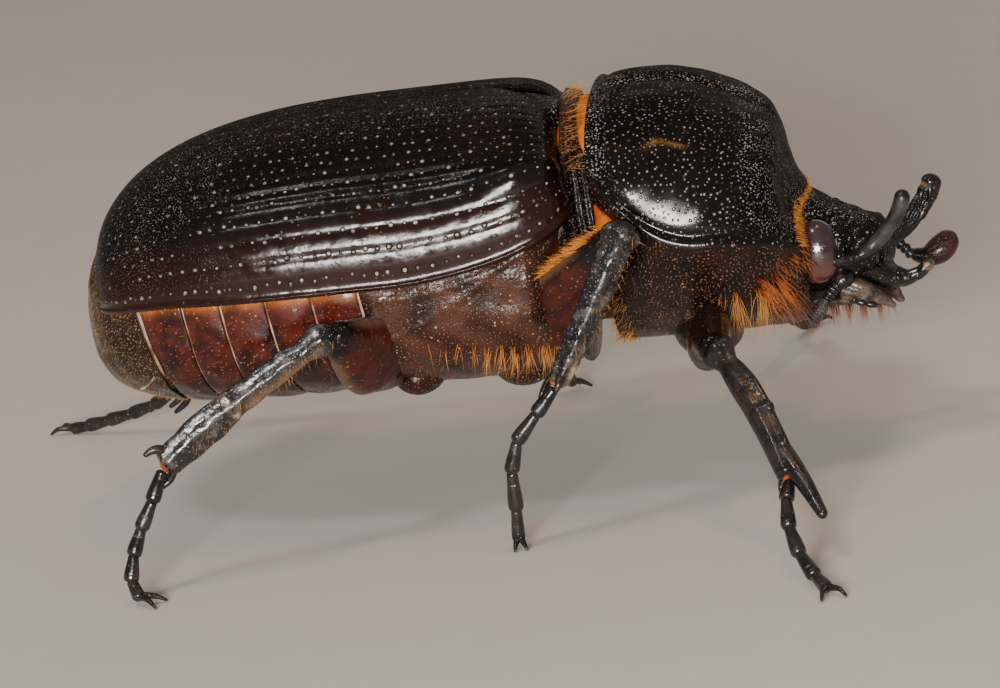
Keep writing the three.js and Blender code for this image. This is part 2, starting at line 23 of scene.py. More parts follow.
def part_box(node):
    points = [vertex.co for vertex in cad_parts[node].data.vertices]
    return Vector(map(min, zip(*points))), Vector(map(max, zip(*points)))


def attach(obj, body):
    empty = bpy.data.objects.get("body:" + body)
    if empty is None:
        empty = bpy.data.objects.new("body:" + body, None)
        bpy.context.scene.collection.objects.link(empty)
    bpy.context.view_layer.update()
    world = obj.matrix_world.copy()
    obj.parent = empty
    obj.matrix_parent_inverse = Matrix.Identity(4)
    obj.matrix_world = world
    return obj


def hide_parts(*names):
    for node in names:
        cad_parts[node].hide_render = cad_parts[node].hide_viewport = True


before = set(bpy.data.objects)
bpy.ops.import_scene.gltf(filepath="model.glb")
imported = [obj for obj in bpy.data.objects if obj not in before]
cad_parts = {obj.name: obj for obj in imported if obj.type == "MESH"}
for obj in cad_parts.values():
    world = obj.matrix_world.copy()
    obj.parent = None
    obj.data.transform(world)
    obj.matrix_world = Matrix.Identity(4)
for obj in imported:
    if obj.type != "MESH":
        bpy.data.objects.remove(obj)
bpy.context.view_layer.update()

Array = np.ndarray
MM = 0.001
WELD = 1e-7
PRONOTUM_REAR = 4.45
END_STEPS = (0.0, 0.5, 0.9, 0.985)
FINE_STEPS = 4000
ROUTE_STEPS = 400
KNOT_STEPS = 24
LOG = logging.getLogger("beetle")


def body_origin() -> Array:
    """Finds where the body's own origin stands in the frame, from the pronotum's box.

    Returns:
        The origin in metres.
    """
    low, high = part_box("pronotum")
    return np.array([low.x - PRONOTUM_REAR * MM, 0.5 * (low.y + high.y), 0.0])


ORIGIN = body_origin()


class Named(Enum):
    """A choice whose name stands in the names of the frame's nodes."""

    @property
    def word(self) -> str:
        """The name, as the nodes have it."""
        return self.name.lower()


class Side(Named):
    """The two sides of the body, by the sign of Y."""

    RIGHT = -1
    LEFT = 1


class Slot(Enum):
    """The record's material slots."""

    SHELL = "shell"
    BELLY = "belly"
    STERNUM = "sternum"
    LEG = "leg"
    FEMUR = "femur"
    EYE = "eye"
    CLUB = "club"
    SETAE = "setae"
    MEMBRANE = "membrane"


# ---- curves and outlines


def signed_power(value: Array, power: float) -> Array:
    """Raises a signed number to a power and keeps its sign."""
    return np.sign(value) * np.abs(value) ** power


def rounding(distance: Array, roundness: float) -> Array:
    """Falls from 1 at the middle to 0 at the end of a rounded outline."""
    return (1 - np.clip(np.abs(distance), 0, 1) ** roundness) ** (1 / roundness)


def arch(ahead: Array, lengths: tuple[float, float], rounds: tuple[float, float]) -> Array:
    """Falls from 1 to 0 over the given lengths behind and ahead of a middle, each with its roundness."""
    behind = rounding(-ahead / lengths[0], rounds[0])
    return np.where(ahead < 0, behind, rounding(ahead / lengths[1], rounds[1]))


def smooth(value: Array) -> Array:
    """Eases from 0 to 1 as the value goes from 0 to 1."""
    share = np.clip(value, 0, 1)
    return share * share * (3 - 2 * share)


def blend(low: Array, high: Array, share: Array) -> Array:
    """Goes from low to high as the share goes from 0 to 1."""
    return low + (high - low) * share


def hump(value: Array, middle: float, width: float) -> Array:
    """A bell of height 1 round a middle."""
    return np.exp(-(((value - middle) / width) ** 2))


def length(vectors: Array) -> Array:
    """The lengths of an array of vectors, as a column to divide by."""
    return np.linalg.norm(vectors, axis=-1, keepdims=True) + 1e-12


def joined(x: Array, y: Array, z: Array) -> Array:
    """Joins coordinates into points, spread over the rows and columns that they share."""
    return np.stack(np.broadcast_arrays(x, y, z), axis=-1)


def spaced(count: int, low: float = 0.0, high: float = 1.0) -> Array:
    """Evenly spaced values from low to high."""
    return np.linspace(low, high, count)


def eased(count: int) -> Array:
    """Shares from 0 to 1 that crowd towards both ends."""
    return 0.5 - 0.5 * np.cos(np.pi * spaced(count))


def turn_about(axis: Array, degrees: float) -> Array:
    """The matrix of a turn about an axis."""
    return np.array(Matrix.Rotation(math.radians(degrees), 3, Vector(axis)))


# ---- meshes


def normals_of(points: Array) -> Array:
    """Works out the outward normals of a grid of points.

    Args:
        points: rows along a piece and columns round it.

    Returns:
        A unit vector for each point.
    """
    along = np.gradient(points, axis=0)
    across = np.gradient(points, axis=1)
    normal = np.cross(across, along)
    middle = points.reshape(-1, 3).mean(axis=0)
    return np.sign(np.sum(normal * (points - middle))) * normal / length(normal)


@dataclass(frozen=True)
class Pits:
    """Small round pits scattered evenly over a surface of any shape, sizes in millimetres."""

    pitch: float
    radius: float
    depth: float
    seed: int = 1
    table: int = 29

    def at(self, points: Array) -> Array:
        """Works out how deep the pits are.

        Args:
            points: the surface's grid of points.

        Returns:
            The depth at each point.
        """
        normals = normals_of(points)
        draws = np.random.default_rng(self.seed).random((self.table,) * 3 + (4,))
        cell = np.floor(points / self.pitch).astype(int)
        deepest = np.zeros(points.shape[:-1])
        for step in product((-1, 0, 1), repeat=3):
            home = cell + np.array(step)
            draw = draws[tuple(np.moveaxis(home % self.table, -1, 0))]
            offset = points - (home + draw[..., :3]) * self.pitch
            off = np.sum(offset * normals, axis=-1)
            across = np.sum(offset**2, axis=-1) - off**2
            reach = self.radius * (0.7 + 0.6 * draw[..., 3])
            share = np.clip(1 - across / reach**2, 0, 1) * (np.abs(off) < 0.5 * self.pitch)
            deepest = np.maximum(deepest, share**1.5)
        return self.depth * deepest


@dataclass(frozen=True)
class Ripples:
    """Soft irregular waves over a surface, sizes in millimetres."""

    size: float
    depth: float
    seed: int = 3
    waves: int = 7

    def at(self, points: Array) -> Array:
        """Works out how high the waves are.

        Args:
            points: the surface's points.

        Returns:
            The height at each point.
        """
        draw = np.random.default_rng(self.seed)
        total = np.zeros(points.shape[:-1])
        for _ in range(self.waves):
            way = draw.normal(size=3)
            way /= np.linalg.norm(way) * self.size * draw.uniform(0.6, 1.6)
            total += np.sin(points @ way * math.tau + draw.uniform(0, math.tau))
        return self.depth * total / math.sqrt(self.waves)


def capped(grid: Array) -> Array:
    """Closes a grid of sections along its seam, and at both ends by drawing the end rows together.

    Args:
        grid: rows along the piece and columns round it.

    Returns:
        The grid with its added rows.
    """
    grid[:, -1] = grid[:, 0]
    ends = []
    for row in (grid[0], grid[-1]):
        centre = row.mean(axis=0)
        ends.append(np.stack([centre + (row - centre) * step for step in END_STEPS]))
    return np.concatenate([ends[0], grid, ends[1][::-1]])


def padded(mark: Array) -> Array:
    """Gives a mark the rows that capped() adds at a piece's ends."""
    return np.pad(mark, ((len(END_STEPS), len(END_STEPS)), (0, 0)))


def press(points: Array, depth: Array) -> Array:
    """Moves a grid of points inwards along its normals."""
    return points - normals_of(points) * depth[..., None]


SKINS: dict[str, Array] = {}


def stand(name: str, data: bpy.types.ID) -> bpy.types.Object:
    """Puts an object with the given data in the scene."""
    thing = bpy.data.objects.new(name, data)
    bpy.context.scene.collection.objects.link(thing)
    return thing


def poured(shape: bmesh.types.BMesh, mesh: bpy.types.Mesh) -> bpy.types.Object:
    """Writes a finished shape to a mesh with smooth faces, and puts that in the scene.

    Args:
        shape: the shape, which is freed.
        mesh: the mesh, whose name the object gets.

    Returns:
        The object.
    """
    for face in shape.faces:
        face.smooth = True
    shape.to_mesh(mesh)
    shape.free()
    return stand(mesh.name, mesh)


def mark_points(mesh: bpy.types.Mesh, marks: dict[str, Array]) -> None:
    """Writes the numbers that a finish reads on a mesh's points."""
    for mark, numbers in marks.items():
        mesh.attributes.new(mark, "FLOAT", "POINT").data.foreach_set("value", numbers.reshape(-1))


def weave(name: str, *grids: Array, **marks: Array) -> bpy.types.Object:
    """Makes a piece from closed grids of points, each joined where its edges meet.

    Args:
        name: the piece's name.
        grids: rows along a part of the piece and columns round it, in millimetres.
        marks: numbers that the finish reads, one for each point of the only grid.

    Returns:
        The piece, with its faces pointing out.
    """
    SKINS[name] = grids[0]
    mesh = bpy.data.meshes.new(name)
    whole = bmesh.new()
    for points in grids:
        rows, columns, _ = points.shape
        sheet = bmesh.new()
        bmesh.ops.create_grid(sheet, x_segments=columns - 1, y_segments=rows - 1, size=0.5)
        sheet.to_mesh(mesh)
        mesh.vertices.foreach_set("co", (points * MM + ORIGIN).reshape(-1))
        mark_points(mesh, marks)
        sheet.clear()
        sheet.from_mesh(mesh)
        bmesh.ops.remove_doubles(sheet, verts=sheet.verts, dist=WELD)
        bmesh.ops.dissolve_degenerate(sheet, edges=sheet.edges, dist=WELD)
        bmesh.ops.recalc_face_normals(sheet, faces=sheet.faces)
        sheet.to_mesh(mesh)
        sheet.free()
        whole.from_mesh(mesh)
    return poured(whole, mesh)


def shell(name: str, points: Array, **marks: Array) -> bpy.types.Object:
    """Makes a piece from a grid of sections that is still open at its seam and ends."""
    return weave(name, capped(points), **{mark: padded(numbers) for mark, numbers in marks.items()})


def evenly(curve: Callable[[Array], Array], low: float, high: float, count: int) -> tuple[Array, Array]:
    """Spaces places so that they are the same way apart along a curve.

    Args:
        curve: gives the points at an array of places.
        low: the first place.
        high: the last place.
        count: how many places are wanted.

    Returns:
        The places, and how far along the curve each is.
    """
    place = blend(low, high, eased(FINE_STEPS))
    run = np.concatenate([[0], np.cumsum(np.linalg.norm(np.diff(curve(place), axis=0), axis=1))])
    even = spaced(count, 0, run[-1])
    return np.interp(even, run, place), even


def spline(knots: list, count: int) -> Array:
    """Runs a smooth curve through points.

    Args:
        knots: the points.
        count: how many points the curve gets, the same way apart.

    Returns:
        The curve's points.
    """
    points = np.array(knots, float)
    points = np.vstack([2 * points[0] - points[1], points, 2 * points[-1] - points[-2]])
    stretches = []
    for index in range(1, len(points) - 2):
        before, start, end, after = points[index - 1 : index + 3]
        share = spaced(KNOT_STEPS)[:, None]
        gap = [math.sqrt(np.linalg.norm(b - a)) for a, b in ((before, start), (start, end), (end, after))]
        leave = (start - before) / gap[0] - (end - before) / (gap[0] + gap[1]) + (end - start) / gap[1]
        arrive = (end - start) / gap[1] - (after - start) / (gap[1] + gap[2]) + (after - end) / gap[2]
        leave, arrive = leave * gap[1], arrive * gap[1]
        square, cube = share**2, share**3
        stretches.append(
            (2 * cube - 3 * square + 1) * start
            + (cube - 2 * square + share) * leave
            + (3 * square - 2 * cube) * end
            + (cube - square) * arrive
        )
    path = np.vstack([stretches[0]] + [stretch[1:] for stretch in stretches[1:]])
    run = np.concatenate([[0], np.cumsum(np.linalg.norm(np.diff(path, axis=0), axis=1))])
    return np.stack([np.interp(spaced(count, 0, run[-1]), run, path[:, k]) for k in range(3)], axis=1)


def carried(path: Array, upward: tuple) -> tuple[Array, Array, Array]:
    """Carries a cross-section's directions along a path without twisting them.

    Args:
        path: the path's points.
        upward: the way that the section's upper side faces at the start.

    Returns:
        The unit vectors along, across and up at each point.
    """
    along = np.gradient(path, axis=0)
    along /= length(along)
    up = np.array(upward, float)
    ups = []
    for way in along:
        up = up - way * (up @ way)
        up /= np.linalg.norm(up)
        ups.append(up)
    ups = np.array(ups)
    return along, np.cross(ups, along), ups


@dataclass
class Shaft:
    """A long closed solid along a path, given by its half sizes on the way.

    The half sizes are functions of the share of the way along. A section is an ellipse whose
    corners are filled out as its squareness drops under 1.
    """

    knots: list
    half_up: Callable[[Array], Array]
    half_across: Callable[[Array], Array] | None = None
    upward: tuple = (0, 0, 1)
    rows: int = 60
    columns: int = 28
    squareness: float = 1.0
    start_round: float = 0.08
    end_round: float = 0.08

    def places(self) -> tuple[Array, Array]:
        """The shares along the grid's rows, and the angles round its columns."""
        return spaced(self.rows)[:, None], spaced(self.columns + 1, 0, math.tau)[None, :]

    def grid(self) -> Array:
        """Works out the piece's points.

        Returns:
            Rows along the piece and columns round it, ends drawn together.
        """
        share = 0.5 * (eased(self.rows) + spaced(self.rows))
        route = spline(self.knots, ROUTE_STEPS)
        path = np.stack([np.interp(share, spaced(ROUTE_STEPS), route[:, k]) for k in range(3)], axis=1)
        _, across, up = carried(path, self.upward)
        start = np.clip(1 - share / self.start_round, 0, 1)
        end = np.clip(1 - (1 - share) / self.end_round, 0, 1)
        closing = np.sqrt(np.clip((1 - start**2) * (1 - end**2), 0, 1))
        closing[[0, -1]] = 0
        turn = spaced(self.columns + 1, 0, math.tau)
        wide = signed_power(np.cos(turn), self.squareness)[None, :, None] * across[:, None]
        high = signed_power(np.sin(turn), self.squareness)[None, :, None] * up[:, None]
        size_across = ((self.half_across or self.half_up)(share) * closing)[:, None, None]
        size_up = (self.half_up(share) * closing)[:, None, None]
        return path[:, None] + wide * size_across + high * size_up


def ball(centre: tuple, radii: tuple, rows: int, columns: int) -> Array:
    """Makes an ellipsoid's grid.

    Args:
        centre: its middle.
        radii: its half sizes.
        rows: points from pole to pole.
        columns: points round it.

    Returns:
        The grid, with its poles along X.
    """
    lift, turn = spaced(rows, 0, math.pi)[:, None], spaced(columns + 1, 0, math.tau)[None, :]
    unit = joined(-np.cos(lift), np.sin(lift) * np.cos(turn), np.sin(lift) * np.sin(turn))
    return unit * np.array(radii) + np.array(centre)


# ---- materials


class Value:
    """A number in a material. Sums written on it become nodes."""

    def __init__(self, paint: Paint, socket: bpy.types.NodeSocket) -> None:
        """Wraps a socket of a material that is being made."""
        self.paint = paint
        self.socket = socket

    def sum(self, operation: str, *operands: Value | float) -> Value:
        """Adds a Math node that works on the given operands."""
        return self.paint.add("ShaderNodeMath", {"operation": operation}, dict(enumerate(operands)))

    def __add__(self, other: Value | float) -> Value:
        """Adds."""
        return self.sum("ADD", self, other)

    def __sub__(self, other: Value | float) -> Value:
        """Takes away."""
        return self.sum("SUBTRACT", self, other)

    def __rsub__(self, other: float) -> Value:
        """Takes this away from a number."""
        return self.sum("SUBTRACT", other, self)

    def __mul__(self, other: Value | float) -> Value:
        """Multiplies."""
        return self.sum("MULTIPLY", self, other)

    def over(self, most: Value) -> Value:
        """Eases from 0 at 0 to 1 where this reaches the given value."""
        return self.sum("DIVIDE", self, most).between(0, 1)

    __radd__ = __add__
    __rmul__ = __mul__

    def between(self, low: float, high: float) -> Value:
        """Eases from 0 at low to 1 at high."""
        settings = {"interpolation_type": "SMOOTHSTEP", "clamp": True}
        return self.paint.add(
            "ShaderNodeMapRange", settings, {"Value": self, "From Min": low, "From Max": high}
        )


Colour = tuple[float, float, float]


class Paint:
    """A material under construction, made of procedural patterns on the object's own axes."""

    def __init__(self, name: str) -> None:
        """Starts a material with a Principled shader.

        Args:
            name: the material's name.
        """
        self.material = bpy.data.materials.new(name)
        self.material.use_nodes = True
        self.tree = self.material.node_tree
        self.shader = self.tree.nodes["Principled BSDF"]
        self.place = self.add("ShaderNodeTexCoord", {}, {}, "Object")

    def add(self, kind: str, settings: dict, inputs: dict, output: str | int = 0) -> Value:
        """Adds a node.

        Args:
            kind: the node's type.
            settings: its own settings, which are made first.
            inputs: values or wrapped sockets for its inputs, by name or number.
            output: the output that is wanted.

        Returns:
            The wanted output, wrapped.
        """
        node = self.tree.nodes.new(kind)
        for name, setting in settings.items():
            setattr(node, name, setting)
        for name, value in inputs.items():
            if isinstance(value, Value):
                self.tree.links.new(value.socket, node.inputs[name])
            else:
                node.inputs[name].default_value = value
        return Value(self, node.outputs[output])

    def noise(self, size: float, detail: float = 3.0, stretch: Colour = (1, 1, 1)) -> Value:
        """Makes soft noise, with blotches of about the given size in millimetres."""
        scaled = self.add("ShaderNodeMapping", {}, {"Vector": self.place, "Scale": stretch})
        inputs = {"Vector": scaled, "Scale": 1 / (size * MM), "Detail": detail}
        return self.add("ShaderNodeTexNoise", {}, inputs, "Fac")

    def dimples(self, pitch: float, radius: float) -> Value:
        """Makes a mask of round pits on the surface.

        Args:
            pitch: how far apart they are, in millimetres.
            radius: their radius.

        Returns:
            The mask, 1 at their middles.
        """
        inputs = {"Vector": self.place, "Scale": 1 / (pitch * MM), "Randomness": 0.85}
        home = self.add("ShaderNodeTexVoronoi", {"feature": "F1"}, inputs, "Position")
        draw = self.dot(Value(self, home.socket.node.outputs["Color"]), (1, 0, 0))
        offset = self.add("ShaderNodeVectorMath", {"operation": "SUBTRACT"}, {0: self.place, 1: home})
        off = self.dot(offset, self.facing())
        straight = self.dot(offset, offset)
        return 1 - (straight - off * off).over((draw * 0.9 + 0.5) * (radius * MM) ** 2)

    def dot(self, first: Value, second: Value | Colour) -> Value:
        """Multiplies two vectors into a number."""
        return self.add("ShaderNodeVectorMath", {"operation": "DOT_PRODUCT"}, {0: first, 1: second}, "Value")

    def facing(self) -> Value:
        """The way that the surface faces."""
        return self.add("ShaderNodeNewGeometry", {}, {}, "Normal")

    def row_pits(self, pitch: float, radius: float) -> Value:
        """Makes a mask of the pits in the rows that a piece's marks number.

        The mark "row" counts the rows, "run" is the way along them and "lane" their spacing.

        Args:
            pitch: how far apart the pits of a row are, in millimetres.
            radius: their radius.

        Returns:
            The mask, 1 at their middles.
        """
        row, run, lane = self.mark("row"), self.mark("run"), self.mark("lane")
        near = row.sum("ROUND", row)
        along = run * (1 / pitch) + self.chance(near) * 5.0
        place = along.sum("FLOOR", along)
        which = near * 61.7 + place
        gap = (along - place - 0.5 + (self.chance(which) - 0.5) * 0.4) * pitch
        off = (row - near) * lane + (self.chance(which + 0.37) - 0.5) * 0.15
        size = (self.chance(which + 0.71) * 0.7 + 0.6) * radius
        return 1 - (gap * gap + off * off).over(size * size)

    def chance(self, seed: Value) -> Value:
        """Draws a number from 0 to 1 for each value of a seed."""
        return self.add("ShaderNodeTexWhiteNoise", {"noise_dimensions": "1D"}, {"W": seed}, "Value")

    def mark(self, name: str) -> Value:
        """Reads a number that the piece carries at each point."""
        return self.add("ShaderNodeAttribute", {"attribute_name": name}, {}, "Fac")

    def mix(self, share: Value, low: Value | Colour, high: Value | Colour) -> Value:
        """Mixes two colours.

        Args:
            share: how much of the second colour shows.
            low: the colour at 0.
            high: the colour at 1.

        Returns:
            The mixed colour.
        """
        inputs = {0: share}
        for slot, colour in ((6, low), (7, high)):
            inputs[slot] = colour if isinstance(colour, Value) else (*colour, 1)
        return self.add("ShaderNodeMix", {"data_type": "RGBA"}, inputs, 2)

    def raise_up(self, height: Value, depth: float, below: Value | None = None) -> Value:
        """Turns a height from 0 to 1 into bumps of the given depth in millimetres."""
        inputs = {"Height": height, "Distance": depth * MM, "Strength": 1.0}
        if below is not None:
            inputs["Normal"] = below
        return self.add("ShaderNodeBump", {}, inputs, "Normal")

    def dull(self, share: Value, colour: Value, relief: Value) -> None:
        """Puts a matt shader in place of a share of the glossy one.

        Args:
            share: how much of it shows.
            colour: its colour.
            relief: its normal.
        """
        inputs = {"Base Color": colour, "Normal": relief, "Roughness": 0.9, "Specular IOR Level": 0.0}
        matt = self.add("ShaderNodeBsdfPrincipled", {}, inputs)
        both = self.add(
            "ShaderNodeMixShader", {}, {0: share, 1: Value(self, self.shader.outputs[0]), 2: matt}
        )
        self.tree.links.new(both.socket, self.tree.nodes["Material Output"].inputs["Surface"])

    def finish(self, varied: dict[str, Value], fixed: dict[str, float | tuple]) -> bpy.types.Material:
        """Links what varies and sets what is the same all over.

        Args:
            varied: the wrapped sockets for the shader's inputs, by name.
            fixed: plain values for its other inputs, by name.

        Returns:
            The finished material.
        """
        for name, value in varied.items():
            self.tree.links.new(value.socket, self.shader.inputs[name])
        for name, value in fixed.items():
            self.shader.inputs[name].default_value = value
        return self.material


@dataclass(frozen=True)
class Cuticle:
    """The hard glossy skin of a plate, pitted, a little uneven in colour and gloss, and dusty, with painted
    highlights in its pits.

    Colours are linear, sizes are in millimetres and the shares run from 0 to 1.
    """

    name: str
    deep: Colour
    cast: Colour
    cast_size: float = 3.0
    cast_from: float = 0.45
    gloss: tuple[float, float] = (0.1, 0.24)
    coat: float = 0.0
    pit_pitch: float = 0.3
    pit_radius: float = 0.06
    pit_depth: float = 0.02
    grain: float = 0.05
    grain_depth: float = 0.002
    dust: float = 0.35
    dust_colour: Colour = (0.34, 0.25, 0.15)
    close_pitch: float = 0.0
    close_radius: float = 0.06
    close_depth: float = 0.03
    row_depth: float = 0.0
    row_pitch: float = 0.5
    row_radius: float = 0.125
    # Painted highlights: the pits are coloured as if they caught the lamps, brighter where they face up.
    pit_light: Colour = (0.03, 0.02, 0.012)
    pit_glint: Colour = (0.12, 0.09, 0.07)
    wave: float = 0.9
    wave_depth: float = 0.008
    ior: float = 1.5
    matt: float = 0.0
    # Share of the painted pit highlight that is kept where the pits crowd and where they do not face up.
    shade: float = 1.0
    black: Colour = (0.004, 0.0035, 0.0035)
    tan: Colour = (0.2, 0.105, 0.05)
    worn: Colour = (0.42, 0.3, 0.18)

    def material(self) -> bpy.types.Material:
        """Builds the finish.

        Returns:
            The material.
        """
        paint = Paint(self.name)
        cast = paint.noise(self.cast_size, 2.0).between(self.cast_from, self.cast_from + 0.3)
        mottle = paint.noise(0.35, 4.0)
        body = paint.mix(cast * mottle, self.deep, self.cast)
        body = paint.mix(paint.mark("dark"), body, self.black)
        body = paint.mix(paint.mark("tan") * (0.6 + 0.4 * mottle), body, self.tan)
        body = paint.mix(paint.mark("wear") * mottle.between(0.3, 0.6), body, self.worn)
        speck = paint.dimples(0.5, 0.05) * paint.noise(1.6, 2.0).between(0.5, 0.62) * self.dust
        colour = paint.mix(speck, body, self.dust_colour)
        low, high = self.gloss
        rough = paint.noise(0.6, 4.0).between(0.3, 0.75) * (high - low) + low + speck * 0.5
        relief = paint.raise_up(paint.noise(self.wave, 2.0), self.wave_depth)
        relief = paint.raise_up(paint.noise(self.grain, 2.0), self.grain_depth, relief)
        pits = paint.dimples(self.pit_pitch, self.pit_radius)
        if self.close_pitch:
            crowd = paint.mark("crowd")
            close = paint.dimples(self.close_pitch, self.close_radius) * crowd
            relief = paint.raise_up(1 - close, self.close_depth, relief)
        if self.pit_depth:
            relief = paint.raise_up(1 - pits, self.pit_depth, relief)
        lit = pits
        if self.row_depth:
            lit = paint.row_pits(self.row_pitch, self.row_radius)
            relief = paint.raise_up(1 - lit, self.row_depth, relief)
        # Painted highlights: the pits' middles take a light colour that stands in for the lamps' glints.
        patchy = paint.noise(0.45, 3.0).between(0.35, 0.62) * 0.9 + 0.1
        dimmed_painted_highlight = tuple(self.shade * part for part in self.pit_light)
        light = paint.mix(crowd, self.pit_light, dimmed_painted_highlight) if self.row_depth else self.pit_light
        colour = paint.mix(lit.between(0.5, 1.0) * patchy, colour, light)
        if self.close_pitch:
            # Pits that face up get a brighter painted highlight, as if lit from above; the same facing also
            # dulls the gloss.
            upward = paint.dot(paint.facing(), (0, 0, 1)).between(0.25, 0.95)
            light = paint.mix(upward, dimmed_painted_highlight, self.pit_glint)
            colour = paint.mix(close.between(0.45, 0.95) * patchy, colour, light)
            paint.dull((1 - (1 - crowd) * (1 - upward)) * self.matt, colour, relief)
        varied = {"Base Color": colour, "Roughness": rough, "Normal": relief}
        return paint.finish(varied, {"Coat Weight": self.coat, "Coat Roughness": 0.06, "IOR": self.ior})


@dataclass(frozen=True)
class Skin:
    """The soft skin between plates: wrinkled, waxy, a little translucent, and darkened where marked."""

    name: str
    pale: Colour
    warm: Colour
    rough: float = 0.42
    stain: Colour = (0.012, 0.005, 0.003)

    def material(self) -> bpy.types.Material:
        """Builds the finish.

        Returns:
            The material.
        """
        paint = Paint(self.name)
        patches = paint.noise(0.8, 3.0).between(0.35, 0.65)
        folds = paint.noise(0.16, 3.0, (1, 1, 0.35))
        varied = {
            "Base Color": paint.mix(paint.mark("dark"), paint.mix(patches, self.pale, self.warm), self.stain),
            "Roughness": folds * 0.2 + (self.rough - 0.1),
            "Normal": paint.raise_up(folds, 0.03),
        }
        return paint.finish(varied, {"Subsurface Weight": 0.15, "Subsurface Scale": 0.0006, "IOR": 1.3})


@dataclass(frozen=True)
class Bristle:
    """The finish of the setae: darker at the root and bright towards the tip."""

    name: str
    root: Colour
    tip: Colour

    def material(self) -> bpy.types.Material:
        """Builds the finish.

        Returns:
            The material.
        """
        paint = Paint(self.name)
        share = paint.mark("share")
        tint = paint.mark("tint")
        bright = paint.mix(tint, self.tip, tuple(0.62 * part for part in self.tip))
        varied = {"Base Color": paint.mix(share.between(0.0, 0.7), self.root, bright)}
        return paint.finish(varied, {"Roughness": 0.45, "IOR": 1.4})


